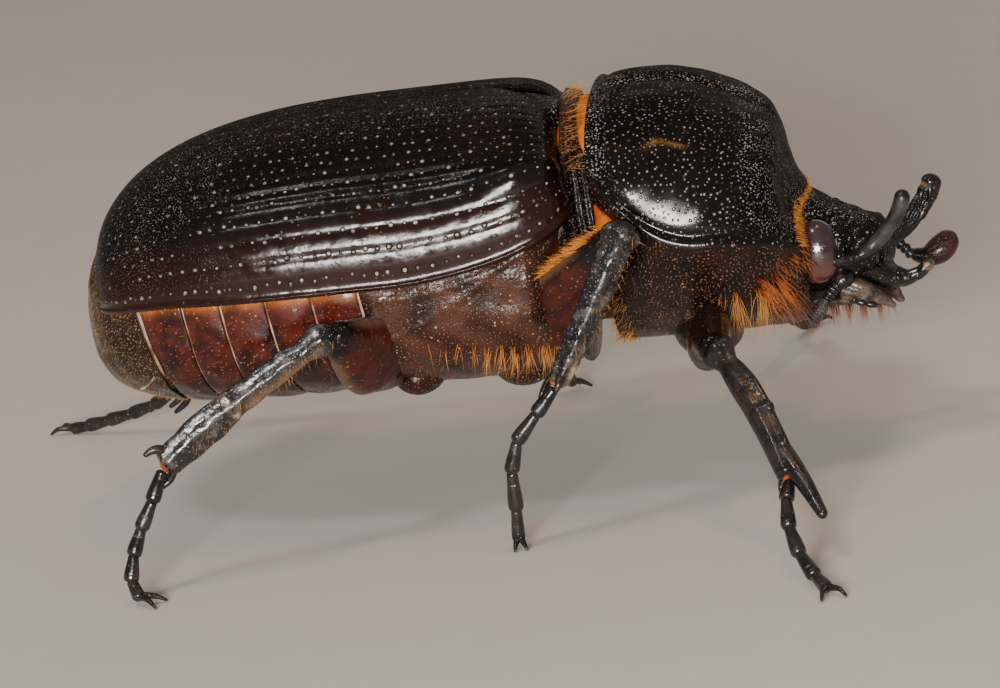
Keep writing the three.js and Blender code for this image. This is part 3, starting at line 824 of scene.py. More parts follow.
class Finish(Enum):
    """Every finish on the beetle."""

    SHELL = Cuticle(
        "black_shell", (0.004, 0.0035, 0.003), (0.012, 0.006, 0.004), pit_pitch=0.3, pit_radius=0.07,
        pit_depth=0.03, close_pitch=0.17, close_radius=0.05, close_depth=0.028,
        pit_light=(0.24, 0.215, 0.18), pit_glint=(0.55, 0.5, 0.44), ior=1.41, matt=0.75,
    )
    # Its tan is a painted brownish reflection on the wing cases' lower sides.
    CASE = Cuticle(
        "black_case", (0.004, 0.0035, 0.003), (0.018, 0.007, 0.005), pit_depth=0.0, close_pitch=0.15,
        close_radius=0.038, close_depth=0.02, row_depth=0.06, row_radius=0.112,
        pit_light=(0.36, 0.32, 0.27), pit_glint=(0.34, 0.31, 0.27), wave=0.6, wave_depth=0.022,
        tan=(0.03, 0.007, 0.005), ior=1.41, matt=0.75, shade=0.45,
    )
    BREAST = Cuticle(
        "brown_breast", (0.008, 0.003, 0.002), (0.055, 0.014, 0.008), cast_size=1.5, cast_from=0.33,
        gloss=(0.2, 0.38), pit_pitch=0.2, pit_radius=0.062, pit_depth=0.045, dust=0.9,
        dust_colour=(0.5, 0.32, 0.2), pit_light=(0.19, 0.1, 0.055), grain=0.14, grain_depth=0.02,
        tan=(0.17, 0.068, 0.04), wave=0.5, wave_depth=0.03, ior=1.35,
    )
    # Its tan is a painted orange glow under the wing cases' edge, and its black is painted shade low on the
    # belly.
    BELLY = Cuticle(
        "red_brown_belly", (0.016, 0.003, 0.003), (0.13, 0.018, 0.01), cast_size=0.9, cast_from=0.3,
        gloss=(0.12, 0.3), pit_pitch=0.3, pit_radius=0.042, pit_depth=0.02, dust=0.6,
        dust_colour=(0.5, 0.36, 0.26), pit_light=(0.26, 0.13, 0.07), tan=(0.55, 0.16, 0.025), wave=0.45,
        wave_depth=0.02, ior=1.42,
    )
    TAIL = Cuticle(
        "olive_brown_tail", (0.008, 0.004, 0.0015), (0.028, 0.01, 0.004), cast_size=1.6, cast_from=0.3,
        gloss=(0.16, 0.32), pit_pitch=0.2, pit_radius=0.055, pit_depth=0.025, dust=0.6,
        pit_light=(0.28, 0.2, 0.11), ior=1.38,
    )
    THIGH = Cuticle(
        "red_brown_thigh", (0.02, 0.004, 0.003), (0.085, 0.012, 0.006), cast_size=1.0, cast_from=0.3,
        gloss=(0.12, 0.26), pit_pitch=0.38, dust=0.6, pit_light=(0.14, 0.07, 0.03), tan=(0.12, 0.07, 0.045),
        ior=1.42,
    )
    LEG = Cuticle(
        "black_leg", (0.004, 0.0035, 0.0035), (0.035, 0.024, 0.02), cast_size=0.9, cast_from=0.35,
        gloss=(0.16, 0.38), pit_pitch=0.36, pit_radius=0.05, pit_depth=0.012, grain=0.12, grain_depth=0.007,
        wave=0.6, wave_depth=0.045, pit_light=(0.06, 0.05, 0.04), ior=1.6,
    )
    # Grey mottles painted on black stand in for the broken highlights of the middle and hind tibiae; their
    # pits carry painted highlights too.
    PITTED = replace(
        LEG, name="pitted_leg", cast=(0.15, 0.13, 0.12), cast_size=0.5, cast_from=0.46, gloss=(0.18, 0.42),
        pit_pitch=0.24, pit_radius=0.045, pit_depth=0.02, grain=0.2, grain_depth=0.03, wave_depth=0.06,
        pit_light=(0.2, 0.18, 0.165), ior=1.75,
    )
    HORN = Cuticle(
        "worn_horn", (0.006, 0.0055, 0.005), (0.03, 0.024, 0.018), cast_size=0.7, cast_from=0.5,
        gloss=(0.18, 0.36), grain=0.12, grain_depth=0.01, pit_pitch=0.26, pit_depth=0.015,
    )
    # The right horn's grey is a painted sheen on black.
    SATIN = Cuticle(
        "satin_horn", (0.013, 0.012, 0.0115), (0.075, 0.066, 0.06), cast_size=1.1, cast_from=0.34,
        gloss=(0.24, 0.4), pit_pitch=0.4, pit_radius=0.04, pit_depth=0.004, grain=0.2, grain_depth=0.003,
        dust=0.1,
    )
    JAW = Cuticle(
        "ridged_jaw", (0.03, 0.02, 0.017), (0.19, 0.13, 0.1), cast_size=0.5, cast_from=0.35,
        gloss=(0.24, 0.42), pit_pitch=0.2, pit_radius=0.05, pit_depth=0.02, grain=0.1, grain_depth=0.008,
        pit_light=(0.12, 0.08, 0.05),
    )
    RINGED = Cuticle(
        "grey_rings", (0.03, 0.028, 0.03), (0.11, 0.1, 0.1), cast_size=0.4, cast_from=0.35,
        gloss=(0.25, 0.4), pit_pitch=0.09, pit_radius=0.03, pit_depth=0.008,
    )
    CLUB = Cuticle(
        "velvet_club", (0.012, 0.004, 0.004), (0.055, 0.011, 0.008), cast_size=0.7, cast_from=0.35,
        gloss=(0.14, 0.3), pit_pitch=0.09, pit_radius=0.03, pit_depth=0.008,
    )
    EYE = Cuticle(
        "dark_eye", (0.02, 0.011, 0.014), (0.06, 0.028, 0.03), cast_size=0.9, cast_from=0.3,
        gloss=(0.06, 0.14), coat=1.0, pit_pitch=0.045, pit_radius=0.022, pit_depth=0.0012, dust=0.0,
        wave_depth=0.0, tan=(0.11, 0.03, 0.02),
    )
    CREAM = Skin("cream_skin", (0.56, 0.4, 0.27), (0.14, 0.06, 0.03))
    AMBER = Skin("amber_skin", (0.62, 0.15, 0.007), (0.3, 0.05, 0.004), 0.5)
    GOLD = Bristle("gold_bristle", (0.3, 0.09, 0.015), (0.86, 0.4, 0.09))
    ORANGE = Bristle("orange_bristle", (0.36, 0.09, 0.012), (0.95, 0.36, 0.06))
    RED = Bristle("red_bristle", (0.14, 0.012, 0.005), (0.8, 0.21, 0.03))
    PINK = Bristle("pink_bristle", (0.16, 0.05, 0.035), (0.42, 0.19, 0.13))


MADE: dict[Finish, bpy.types.Material] = {}


def dress(piece: bpy.types.Object, finish: Finish, slot: Slot, *nodes: str) -> None:
    """Gives a piece its finish and its place in the frame.

    Args:
        piece: the piece.
        finish: its finish.
        slot: the record's slot that the finish stands for; not used.
        nodes: the frame's nodes that the piece stands for.
    """
    if finish not in MADE:
        MADE[finish] = finish.value.material()
    piece.data.materials.append(MADE[finish])
    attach(piece, "root")
    if nodes:
        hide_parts(*nodes)
    LOG.info("%s: %d faces", piece.name, len(piece.data.polygons))


# ---- elytra


@dataclass(frozen=True)
class ElytraOutline:
    """The dome that the two elytra share."""

    half_width: float = 7.5
    middle: float = -6.5
    rear: float = -16.75
    front: float = 3.1
    rounds: tuple[float, float] = (3.0, 6.0)
    crest: float = 16.62
    crest_at: float = -3.0
    crest_rounds: tuple[float, float] = (2.6, 6.0)
    edge: float = 10.65
    edge_rise: tuple[float, float] = (-4.0, 0.041)
    edge_fall: tuple[float, float] = (-12.0, 0.035)
    lean: float = 1.4
    squareness: float = 0.86
    rim: float = 0.45

    def half_width_at(self, x: Array) -> Array:
        """Half the pair's width at each place along the body."""
        lengths = (self.middle - self.rear, self.front - self.middle)
        return self.half_width * arch(x - self.middle, lengths, self.rounds)

    def edge_at(self, x: Array) -> Array:
        """The height of the side edge at each place along the body."""
        rise = self.edge_rise[1] * np.maximum(x - self.edge_rise[0], 0) ** 2
        fall = self.edge_fall[1] * np.maximum(self.edge_fall[0] - x, 0) ** 2
        return self.edge + rise - fall

    def top_at(self, x: Array) -> Array:
        """The height of the crest at each place along the body."""
        lengths = (self.crest_at - self.rear, self.front - self.crest_at)
        return self.edge + (self.crest - self.edge) * arch(x - self.crest_at, lengths, self.crest_rounds)

    def point(self, x: Array, turn: Array, inset: Array | float = 0.0) -> Array:
        """Finds points of the dome's right-hand half, mirrored to positive Y.

        Args:
            x: places along the body.
            turn: degrees round the section, from 0 at the side edge to 90 at the crest.
            inset: how far inside the dome the points stand.

        Returns:
            The points.
        """
        edge, angle = self.edge_at(x), np.radians(turn)
        height = np.maximum(self.top_at(x) - edge, 0.02)
        over = np.maximum(height - inset, 0.01) * signed_power(np.sin(angle), self.squareness)
        under = np.minimum(self.rim, 0.5 * height) * np.sin(angle)
        z = edge + np.where(turn > 0, over, under)
        y = np.maximum(self.half_width_at(x) - inset, 0) * signed_power(np.cos(angle), self.squareness)
        depth = np.clip((self.top_at(x) - z) / (self.crest - self.edge), 0, 1)
        lean = self.lean * depth * smooth((x + 4) / 6.5)
        return joined(x + lean, y, z)


@dataclass
class Elytron:
    """One wing case: a hard dome with rows of pits in shallow grooves and a rim along its side.

    A degree round the widest section is the given length on the dome.
    """

    side: Side
    outline: ElytraOutline = field(default_factory=ElytraOutline)
    rows: int = 380
    columns: int = 180
    wall: float = 0.3
    suture: float = 0.06
    scutellum: tuple[float, float, float] = (0.4, 3.5, 1.95)
    row_count: int = 15
    first_row: float = 3.5
    row_steps: tuple[float, float] = (8.0, 5.2)
    back_from: float = 31.5
    degree: float = 0.118
    groove_depth: float = 0.035
    groove_half: float = 0.16
    shoulder: tuple[float, float, float, float] = (1.4, 30.0, 1.5, 0.4)

    def stations(self) -> tuple[Array, Array]:
        """Spaces the rows evenly over the dome's length.

        Returns:
            The places along the body, and how far each is from the rear over the dome.
        """
        dome = self.outline
        return evenly(lambda x: dome.point(x, 48.0), dome.rear, dome.front, self.rows)

    def top_turn(self, x: Array) -> Array:
        """The angle at which the suture, or the scutellum's side, cuts each section."""
        rear, front, half = self.scutellum
        inner = self.suture + half * np.clip((x - rear) / (front - rear), 0, 1)
        share = np.clip(inner / np.maximum(self.outline.half_width_at(x), 0.01), 0, 1)
        return np.degrees(np.arccos(share ** (1 / self.outline.squareness)))

    def lanes(self, x: Array, turn: Array) -> tuple[Array, Array]:
        """Numbers the rows of pits.

        Args:
            x: places along the body.
            turn: degrees round the section.

        Returns:
            How many rows each point is from the first, and how far apart the rows are there.
        """
        side, back = self.row_steps
        past = turn > self.back_from
        step = np.where(past, back, side)
        row = (np.minimum(turn, self.back_from) - self.first_row) / side
        row = row + np.maximum(turn - self.back_from, 0) / back
        return row, self.degree * step * self.outline.half_width_at(x) / self.outline.half_width

    def build(self) -> None:
        """Builds the wing case."""
        x, run = self.stations()
        x, run = x[:, None], run[:, None]
        top = self.top_turn(x)
        share = spaced(self.columns)[None, :]
        turn = blend(top, -80.0, share)
        outer = self.outline.point(x, turn)
        fade = smooth((x - self.outline.rear) / 0.6) * smooth((self.outline.front - x) / 0.3)
        bead = 0.1 * hump(turn, -14, 15) * fade - 0.07 * hump(turn, 1.2, 1.3) * fade
        reach, at, wide, high = self.shoulder
        hill = high * hump(x, reach, wide) * hump(turn, at, 9.0)
        row, lane = self.lanes(x, turn)
        aside = (row - np.clip(np.round(row), 0, self.row_count - 1)) * lane
        ends = smooth((x - self.outline.rear - 1.6) / 3.2) * smooth((self.outline.front - 0.25 - x) / 0.8)
        outer = press(
            outer, self.groove_depth * hump(aside, 0, self.groove_half) * ends * fade - bead - hill * fade
        )
        inner_turn = blend(-55.0, top, spaced(7)[None, :])
        inner = self.outline.point(x, inner_turn, self.wall)
        points = np.concatenate([outer, inner, outer[:, :1]], axis=1)
        points[..., 1] *= self.side.value
        inside = (self.rows, inner.shape[1] + 1)
        crowd = 0.55 * smooth((turn - 26) / 16) + 0.25 * smooth((turn - 50) / 26)
        crowd = crowd + 0.8 * smooth((-9.0 - x) / 5)
        crowd = np.clip(crowd, 0, 0.85) * smooth((turn - 2) / 4)
        row = np.where((turn > 0.5) & (row < self.row_count - 0.5), row, -0.5)
        # The "tan" mark browns the lower sides of the case: a painted reflection.
        marks = {
            mark: np.concatenate([over, np.broadcast_to(under, inside)], axis=1)
            for mark, over, under in (
                ("row", row, -0.5), ("run", run + 0 * turn, run), ("lane", lane, 1.0), ("crowd", crowd, 0.0),
                ("tan", 0.7 * smooth((34 - turn) / 30), 0.0),
            )
        }
        name = f"elytron_{self.side.word}"
        dress(weave(f"{name}_case", points, **marks), Finish.CASE, Slot.SHELL, name)


@dataclass
class Scutellum:
    """The small pitted triangle between the wing cases."""

    outline: ElytraOutline = field(default_factory=ElytraOutline)
    rear: float = 0.42
    front: float = 3.05
    half_width: float = 1.5
    inset: float = 0.3
    thickness: float = 0.7

    def build(self) -> None:
        """Builds the plate."""
        share, across = spaced(60)[:, None], spaced(61, -1, 1)[None, :]
        x = blend(self.rear, self.front, share)
        y = self.half_width * (0.04 + 0.96 * share) * across
        beside = np.clip(np.abs(y) / self.outline.half_width, 0, 1)
        turn = np.degrees(np.arccos(beside ** (1 / self.outline.squareness)))
        level = self.outline.point(np.minimum(x, 1.6), turn, self.inset)[..., 2]
        edge = 0.1 * np.clip((np.abs(across) - 0.8) / 0.2, 0, 1) ** 2 + 0.4 * smooth((x - 1.5) / 1.3)
        upper = joined(x, y, level - edge + Ripples(0.8, 0.015, 19).at(joined(x, y, level)))
        lower = upper[:, ::-1] - np.array([0, 0, self.thickness])
        points = np.concatenate([upper, lower, upper[:, :1]], axis=1)
        piece = shell("scutellum_plate", points, crowd=np.ones(points.shape[:2]))
        dress(piece, Finish.SHELL, Slot.SHELL, "scutellum")


# ---- prothorax


@dataclass(frozen=True)
class ProthoraxOutline:
    """The outline of the pronotum and of the breast plate under it."""

    rear: float = PRONOTUM_REAR
    front: float = 12.45
    half_width: float = 7.2
    middle: float = 8.2
    lengths: tuple[float, float] = (6.0, 5.0)
    rounds: tuple[float, float] = (2.4, 2.2)
    top: float = 16.45
    top_at: float = 6.6
    slope: float = 0.078
    margin: float = 10.75
    margin_at: float = 8.6
    margin_rise: float = 0.19
    margin_fall: float = 0.075
    belly: float = 5.6
    drop_at: float = 11.92
    drop: float = 2.9
    drop_width: float = 0.32
    furrow_depth: float = 0.4
    furrow_half: float = 0.75
    squareness: float = 0.9

    def half_width_at(self, x: Array) -> Array:
        """Half the width at each place along the body."""
        return self.half_width * arch(x - self.middle, self.lengths, self.rounds)

    def margin_at_x(self, x: Array) -> Array:
        """The height of the side margin at each place along the body."""
        climb = np.where(x < self.margin_at, self.margin_rise, -self.margin_fall)
        return self.margin + climb * (x - self.margin_at) ** 2

    def top_at_x(self, x: Array) -> Array:
        """The height of the back at each place along the body, with its steep front."""
        step = 0.5 + 0.5 * np.tanh((x - self.drop_at) / self.drop_width)
        return self.top - self.slope * (x - self.top_at) ** 2 - self.drop * step

    def furrow(self, x: Array, y: Array) -> Array:
        """The depth of the furrow along the middle of the back."""
        ends = smooth((x - self.rear) / 1.2) * smooth((self.drop_at + 0.4 - x) / 1.2)
        return self.furrow_depth * ends * hump(y, 0, self.furrow_half)

    def shield(self, x: Array, turn: Array) -> Array:
        """Finds points of the pronotum.

        Args:
            x: places along the body.
            turn: degrees round the section, from 0 at the left margin to 180 at the right.

        Returns:
            The points.
        """
        angle = np.radians(turn)
        y = self.half_width_at(x) * signed_power(np.cos(angle), self.squareness)
        height = self.top_at_x(x) - self.margin_at_x(x)
        over = height * signed_power(np.sin(angle), self.squareness) - self.furrow(x, y)
        z = self.margin_at_x(x) + np.where(turn % 360 <= 180, over, 0.35 * np.sin(angle))
        return joined(x, y, z)

    def breast(self, x: Array, turn: Array) -> Array:
        """Finds points of the breast plate.

        Args:
            x: places along the body.
            turn: degrees round the section, from the left margin.

        Returns:
            The points.
        """
        angle = np.radians(turn)
        sine = np.sin(angle)
        taper = np.where(sine < 0, 1 + 0.25 * sine, 1)
        y = (self.half_width_at(x) - 0.3) * signed_power(np.cos(angle), self.squareness) * taper
        depth = self.margin_at_x(x) - self.belly
        z = self.margin_at_x(x) + np.where(sine < 0, depth * signed_power(sine, self.squareness), 0.4 * sine)
        return joined(x, y, z)


@dataclass
class Prothorax:
    """The domed shield behind the head, pitted all over and beaded along its edges."""

    outline: ProthoraxOutline = field(default_factory=ProthoraxOutline)
    rows: int = 190
    columns: int = 400
    waves: Ripples = Ripples(1.6, 0.02)
    bead: float = 0.1
    breast_dark: float = 0.5

    def shield(self) -> None:
        """Builds the pronotum."""
        shape = self.outline
        x, _ = evenly(lambda x: shape.shield(x, 62.0), shape.rear, shape.front, self.rows)
        x = x[:, None]
        turn = np.concatenate([spaced(self.columns, -8, 188), spaced(9, 215, 352)])[None, :]
        points = shape.shield(x, turn)
        cheek = 0.22 * hump(turn, 90, 24) - 0.22 * hump(np.abs(turn - 90), 52, 30)
        points[..., 0] += cheek * smooth((x - 11.2) / 1.2)
        back = (turn > 4) & (turn < 176)
        side = np.minimum(np.abs(turn), np.abs(turn - 180))
        rear, front = x - shape.rear, shape.front - x
        ends = smooth(rear / 0.5) * smooth(front / 0.4)
        crowd = np.clip(
            smooth((x - 9.2) / 2.0) + hump(points[..., 1], 0, 1.3) + smooth((6.0 - x) / 1.2), 0, 1
        )
        depth = self.waves.at(points) * ends
        edge = self.bead * hump(side, 0.5, 1.8) - 0.06 * hump(side, 4.2, 1.4)
        lip = 0.07 * (hump(rear, 0.14, 0.13) + hump(front, 0.12, 0.12)) - 0.04 * hump(rear, 0.42, 0.12)
        points = press(points, depth - edge * ends - lip * back)
        piece = shell("pronotum_shield", points, crowd=crowd * back)
        dress(piece, Finish.SHELL, Slot.SHELL, "pronotum")

    def breast(self) -> None:
        """Builds the pitted breast plate between the front legs."""
        shape = self.outline
        x = blend(shape.rear, shape.front, spaced(110))[:, None]
        turn = np.concatenate([spaced(220, 170, 370), spaced(9, 385, 530)])[None, :]
        points = shape.breast(x, turn)
        points = press(points, self.waves.at(points))
        grid = capped(points)
        piece = weave("prosternum_plate", grid, dark=np.full(grid.shape[:2], self.breast_dark))
        dress(piece, Finish.BREAST, Slot.STERNUM, "prosternum")

    def build(self) -> None:
        """Builds both plates."""
        self.shield()
        self.breast()


# ---- trunk


@dataclass(frozen=True)
class CoreOutline:
    """The outline of the body under the elytra."""

    half_width: float = 6.95
    middle: float = -6.0
    rear: float = -17.45
    front: float = 4.2
    neck_half: float = 4.4
    neck_top: float = 14.9
    waist: float = 9.0
    top: float = 15.85
    belly: float = 4.9

    def reach(self, x: Array) -> Array:
        """How far a place lies from the middle towards the rear end."""
        return np.where(x < self.middle, (self.middle - x) / (self.middle - self.rear), 0)

    def half_width_at(self, x: Array) -> Array:
        """Half the width at each place along the body."""
        body = self.half_width * rounding(self.reach(x), 2.5)
        return blend(body, self.neck_half, smooth((x - 1.6) / 2.2))

    def top_at(self, x: Array) -> Array:
        """The height of the back under the elytra."""
        back = (self.top - self.waist) * rounding(self.reach(x), 2.3)
        rise = blend(back, self.neck_top - self.waist, smooth((x - 1.2) / 2.4))
        return self.waist + rise + 1.15 * smooth((x - 2.9) / 0.4)

    def bottom_at(self, x: Array) -> Array:
        """The height of the belly."""
        return self.waist - (self.waist - self.belly) * rounding(self.reach(x), 4)

    def point(self, x: Array, turn: Array, inset: Array | float = 0.0) -> Array:
        """Finds points of the body, by degrees round its section from its left side.

        Args:
            x: places along the body.
            turn: degrees round the section, with the back at 90.
            inset: how far inside the body the points stand.

        Returns:
            The points.
        """
        sine, cosine = np.sin(np.radians(turn)), np.cos(np.radians(turn))
        over = sine > 0
        reach = np.where(over, self.top_at(x) - self.waist, self.waist - self.bottom_at(x))
        z = self.waist + np.maximum(reach - inset, 0) * signed_power(sine, 0.85)
        power = np.where(over, 0.85, 1.05)
        y = np.maximum(self.half_width_at(x) - inset, 0) * np.sign(cosine) * np.abs(cosine) ** power
        return joined(x, y, z)


@dataclass(frozen=True)
class Ring:
    """One ring of the trunk between two seams, with its finish."""

    node: str
    rear: float
    front: float
    finish: Finish
    slot: Slot
    tilt: tuple[float, float] = (0.0, 0.0)
    swell: float = 0.12
    rows: int = 60


@dataclass
class Trunk:
    """The breast behind the front legs and the ringed abdomen, down to the pygidium."""

    outline: CoreOutline = field(default_factory=CoreOutline)
    cover: ElytraOutline = field(default_factory=ElytraOutline)
    seams: tuple = (-5.05, -6.95, -8.85, -10.75, -12.4)
    neck_seam: float = 2.95
    tail_top: float = -14.3
    tail_tilt: float = 13.0
    gap: float = 0.08
    slant: float = 0.13
    side_columns: int = 210

    def rings(self) -> list[Ring]:
        """Lists the trunk's rings from the front.

        Returns:
            The rings.
        """
        breast = (Finish.BREAST, Slot.STERNUM)
        slant = self.slant
        rings = [
            Ring("mesothorax", self.neck_seam, self.outline.front + 0.2, *breast, rows=50),
            Ring("metathorax", self.seams[0], self.neck_seam, *breast, (slant, 0.0), 0.2, 130),
        ]
        belly = (Finish.BELLY, Slot.BELLY)
        for index, front in enumerate(self.seams):
            last = index + 1 == len(self.seams)
            rear = self.tail_top if last else self.seams[index + 1]
            tilt = (math.tan(math.radians(self.tail_tilt)) if last else slant, slant)
            rings.append(Ring(f"abdomen_{index + 1}", rear, front, *belly, tilt=tilt))
        return rings

    def ring(self, ring: Ring) -> None:
        """Builds one ring as a rounded plate whose edges dip into the seams.

        Args:
            ring: the ring.
        """
        turn = np.concatenate([spaced(self.side_columns, -200, 20), spaced(9, 36, 160)])[None, :]
        share = eased(ring.rows)[:, None]
        rear, front = (
            at - tilt * (self.outline.point(at, turn)[..., 2] - self.outline.waist)
            for at, tilt in zip((ring.rear, ring.front), ring.tilt)
        )
        if ring.node == "mesothorax":
            level = self.outline.point(front, turn)[..., 2]
            front = front - 0.5 * smooth((level - 13.7) / 1.3) - 1.0 * smooth((8.4 - level) / 2.6)
        x = blend(rear + 0.5 * self.gap, front - 0.5 * self.gap, share)
        near = np.clip(1 - np.minimum(share, 1 - share) / 0.03, 0, 1)
        fold = 0.06 * (1 - np.sqrt(1 - near**2))
        points = self.outline.point(x, turn)
        swell = ring.swell * (np.sin(np.pi * share) ** 0.7 - 1)
        under = self.cover.edge_at(points[..., 0]) - points[..., 2]
        ridge = 0.0
        if ring.finish is Finish.BREAST:
            ridge = 0.09 * hump(under, 0.75, 0.09) + 0.07 * hump(
                under + 0.35 * (points[..., 0] + 4), 2.4, 0.1
            )
        neck = (ring.node == "mesothorax") * smooth((14.6 - points[..., 2]) / 0.8)
        pleats = 0.05 * np.sin(17 * points[..., 0] + 1.2 * points[..., 2]) * neck * smooth(points[..., 2] - 9)
        points = press(
            points, fold + Ripples(1.1, 0.022, 9).at(points) + pleats - swell - ridge * smooth(share / 0.1)
        )
        along, _, height = np.moveaxis(points, -1, 0)
        # Painted light: the "tan" mark gives the belly a glowing orange band just under the wing cases' edge,
        # and the "dark" mark paints shade on its lower part.
        painted_glow = hump(under, 0.24, 0.3) * (0.7 + 0.3 * np.sin(3.1 * along + 1.5 * np.sin(1.3 * along)))
        belly = ring.finish is Finish.BELLY
        shade = 0.8 * smooth((8.6 - height) / 2.6) * (0.6 + 0.4 * np.sin(1.7 * along) ** 2)
        streak = 0.2 + 0.16 * np.sin(2.6 * along + 1.3 * height + np.sin(3.1 * height))
        tan, dark = painted_glow * belly + streak * (ring.node == "metathorax"), shade * belly + 0.9 * neck
        piece = shell(f"{ring.node}_plate", points, tan=tan, dark=dark)
        dress(piece, ring.finish, ring.slot, ring.node)

    def pygidium(self) -> None:
        """Builds the last plate, which closes the body behind."""
        turn = spaced(241, -180, 180)[None, :]
        share = spaced(90)[:, None]
        lean = math.tan(math.radians(self.tail_tilt))
        height = self.outline.point(self.tail_top, turn)[..., 2] - self.outline.waist
        front = self.tail_top - 0.5 * self.gap - lean * height
        x = blend(self.outline.rear, front, np.sin(0.5 * np.pi * share))
        points = self.outline.point(x, turn)
        points = press(points, Ripples(1.3, 0.02, 4).at(points) * smooth(share / 0.06))
        dress(shell("pygidium_plate", points), Finish.TAIL, Slot.BELLY, "pygidium")

    def skin(self) -> None:
        """Builds the skin in the belly's seams and behind the pronotum, at the shoulders and at the tail."""
        stretches = (
            ("neck_skin", self.seams[0] + 0.4, self.outline.front + 0.9, 0.3, Finish.AMBER),
            ("seam_skin", self.outline.rear + 0.5, self.seams[0] + 0.2, 0.24, Finish.CREAM),
        )
        for name, rear, front, inset, finish in stretches:
            x = blend(rear, front, spaced(60))[:, None]
            turn = spaced(73, -180, 180)[None, :]
            sunk = 1.3 * smooth(-np.sin(np.radians(turn))) * smooth((x - 2.6) / 0.4)
            points = self.outline.point(x, turn, inset + sunk)
            # The seam skin gets painted shade towards the belly's bottom, as the belly rings do; the neck
            # skin darkens below a height of 14 mm.
            dark_start, fade = (14.0, 0.6) if finish is Finish.AMBER else (8.4, 2.4)
            dark = smooth((dark_start - points[..., 2]) / fade)
            dress(shell(name, points, dark=0.92 * dark), finish, Slot.MEMBRANE)
        folds, creases = [], []
        for side in (-1, 1):
            knots = [(4.55, side * 5.75, 12.6), (4.95, side * 6.0, 11.7), (5.4, side * 6.1, 10.7)]
            form = (None, (1, 0, 0.4), 50, 36, 1, 0.3, 0.3)
            folds.append(Shaft(knots, lambda t: 0.12 + 0.4 * smooth(1.5 * t), *form).grid())
            x, turn = blend(-15.3, -14.25, spaced(5)), blend(-46.0, -24.0, spaced(5))
            line = self.outline.point(x, turn, 0.02) * np.array([1, side, 1])
            crease = Shaft(list(line), lambda t: 0.07 - 0.03 * t, None, (-0.4, side, 0.1), 50, 20)
            creases.append(crease.grid())
        dress(weave("shoulder_skin", *folds), Finish.AMBER, Slot.MEMBRANE)
        dress(weave("tail_crease", *creases), Finish.CREAM, Slot.MEMBRANE)

    def build(self) -> None:
        """Builds the rings, the last plate and the skin between them."""
        for ring in self.rings():
            self.ring(ring)
        self.pygidium()
        self.skin()


# ---- head


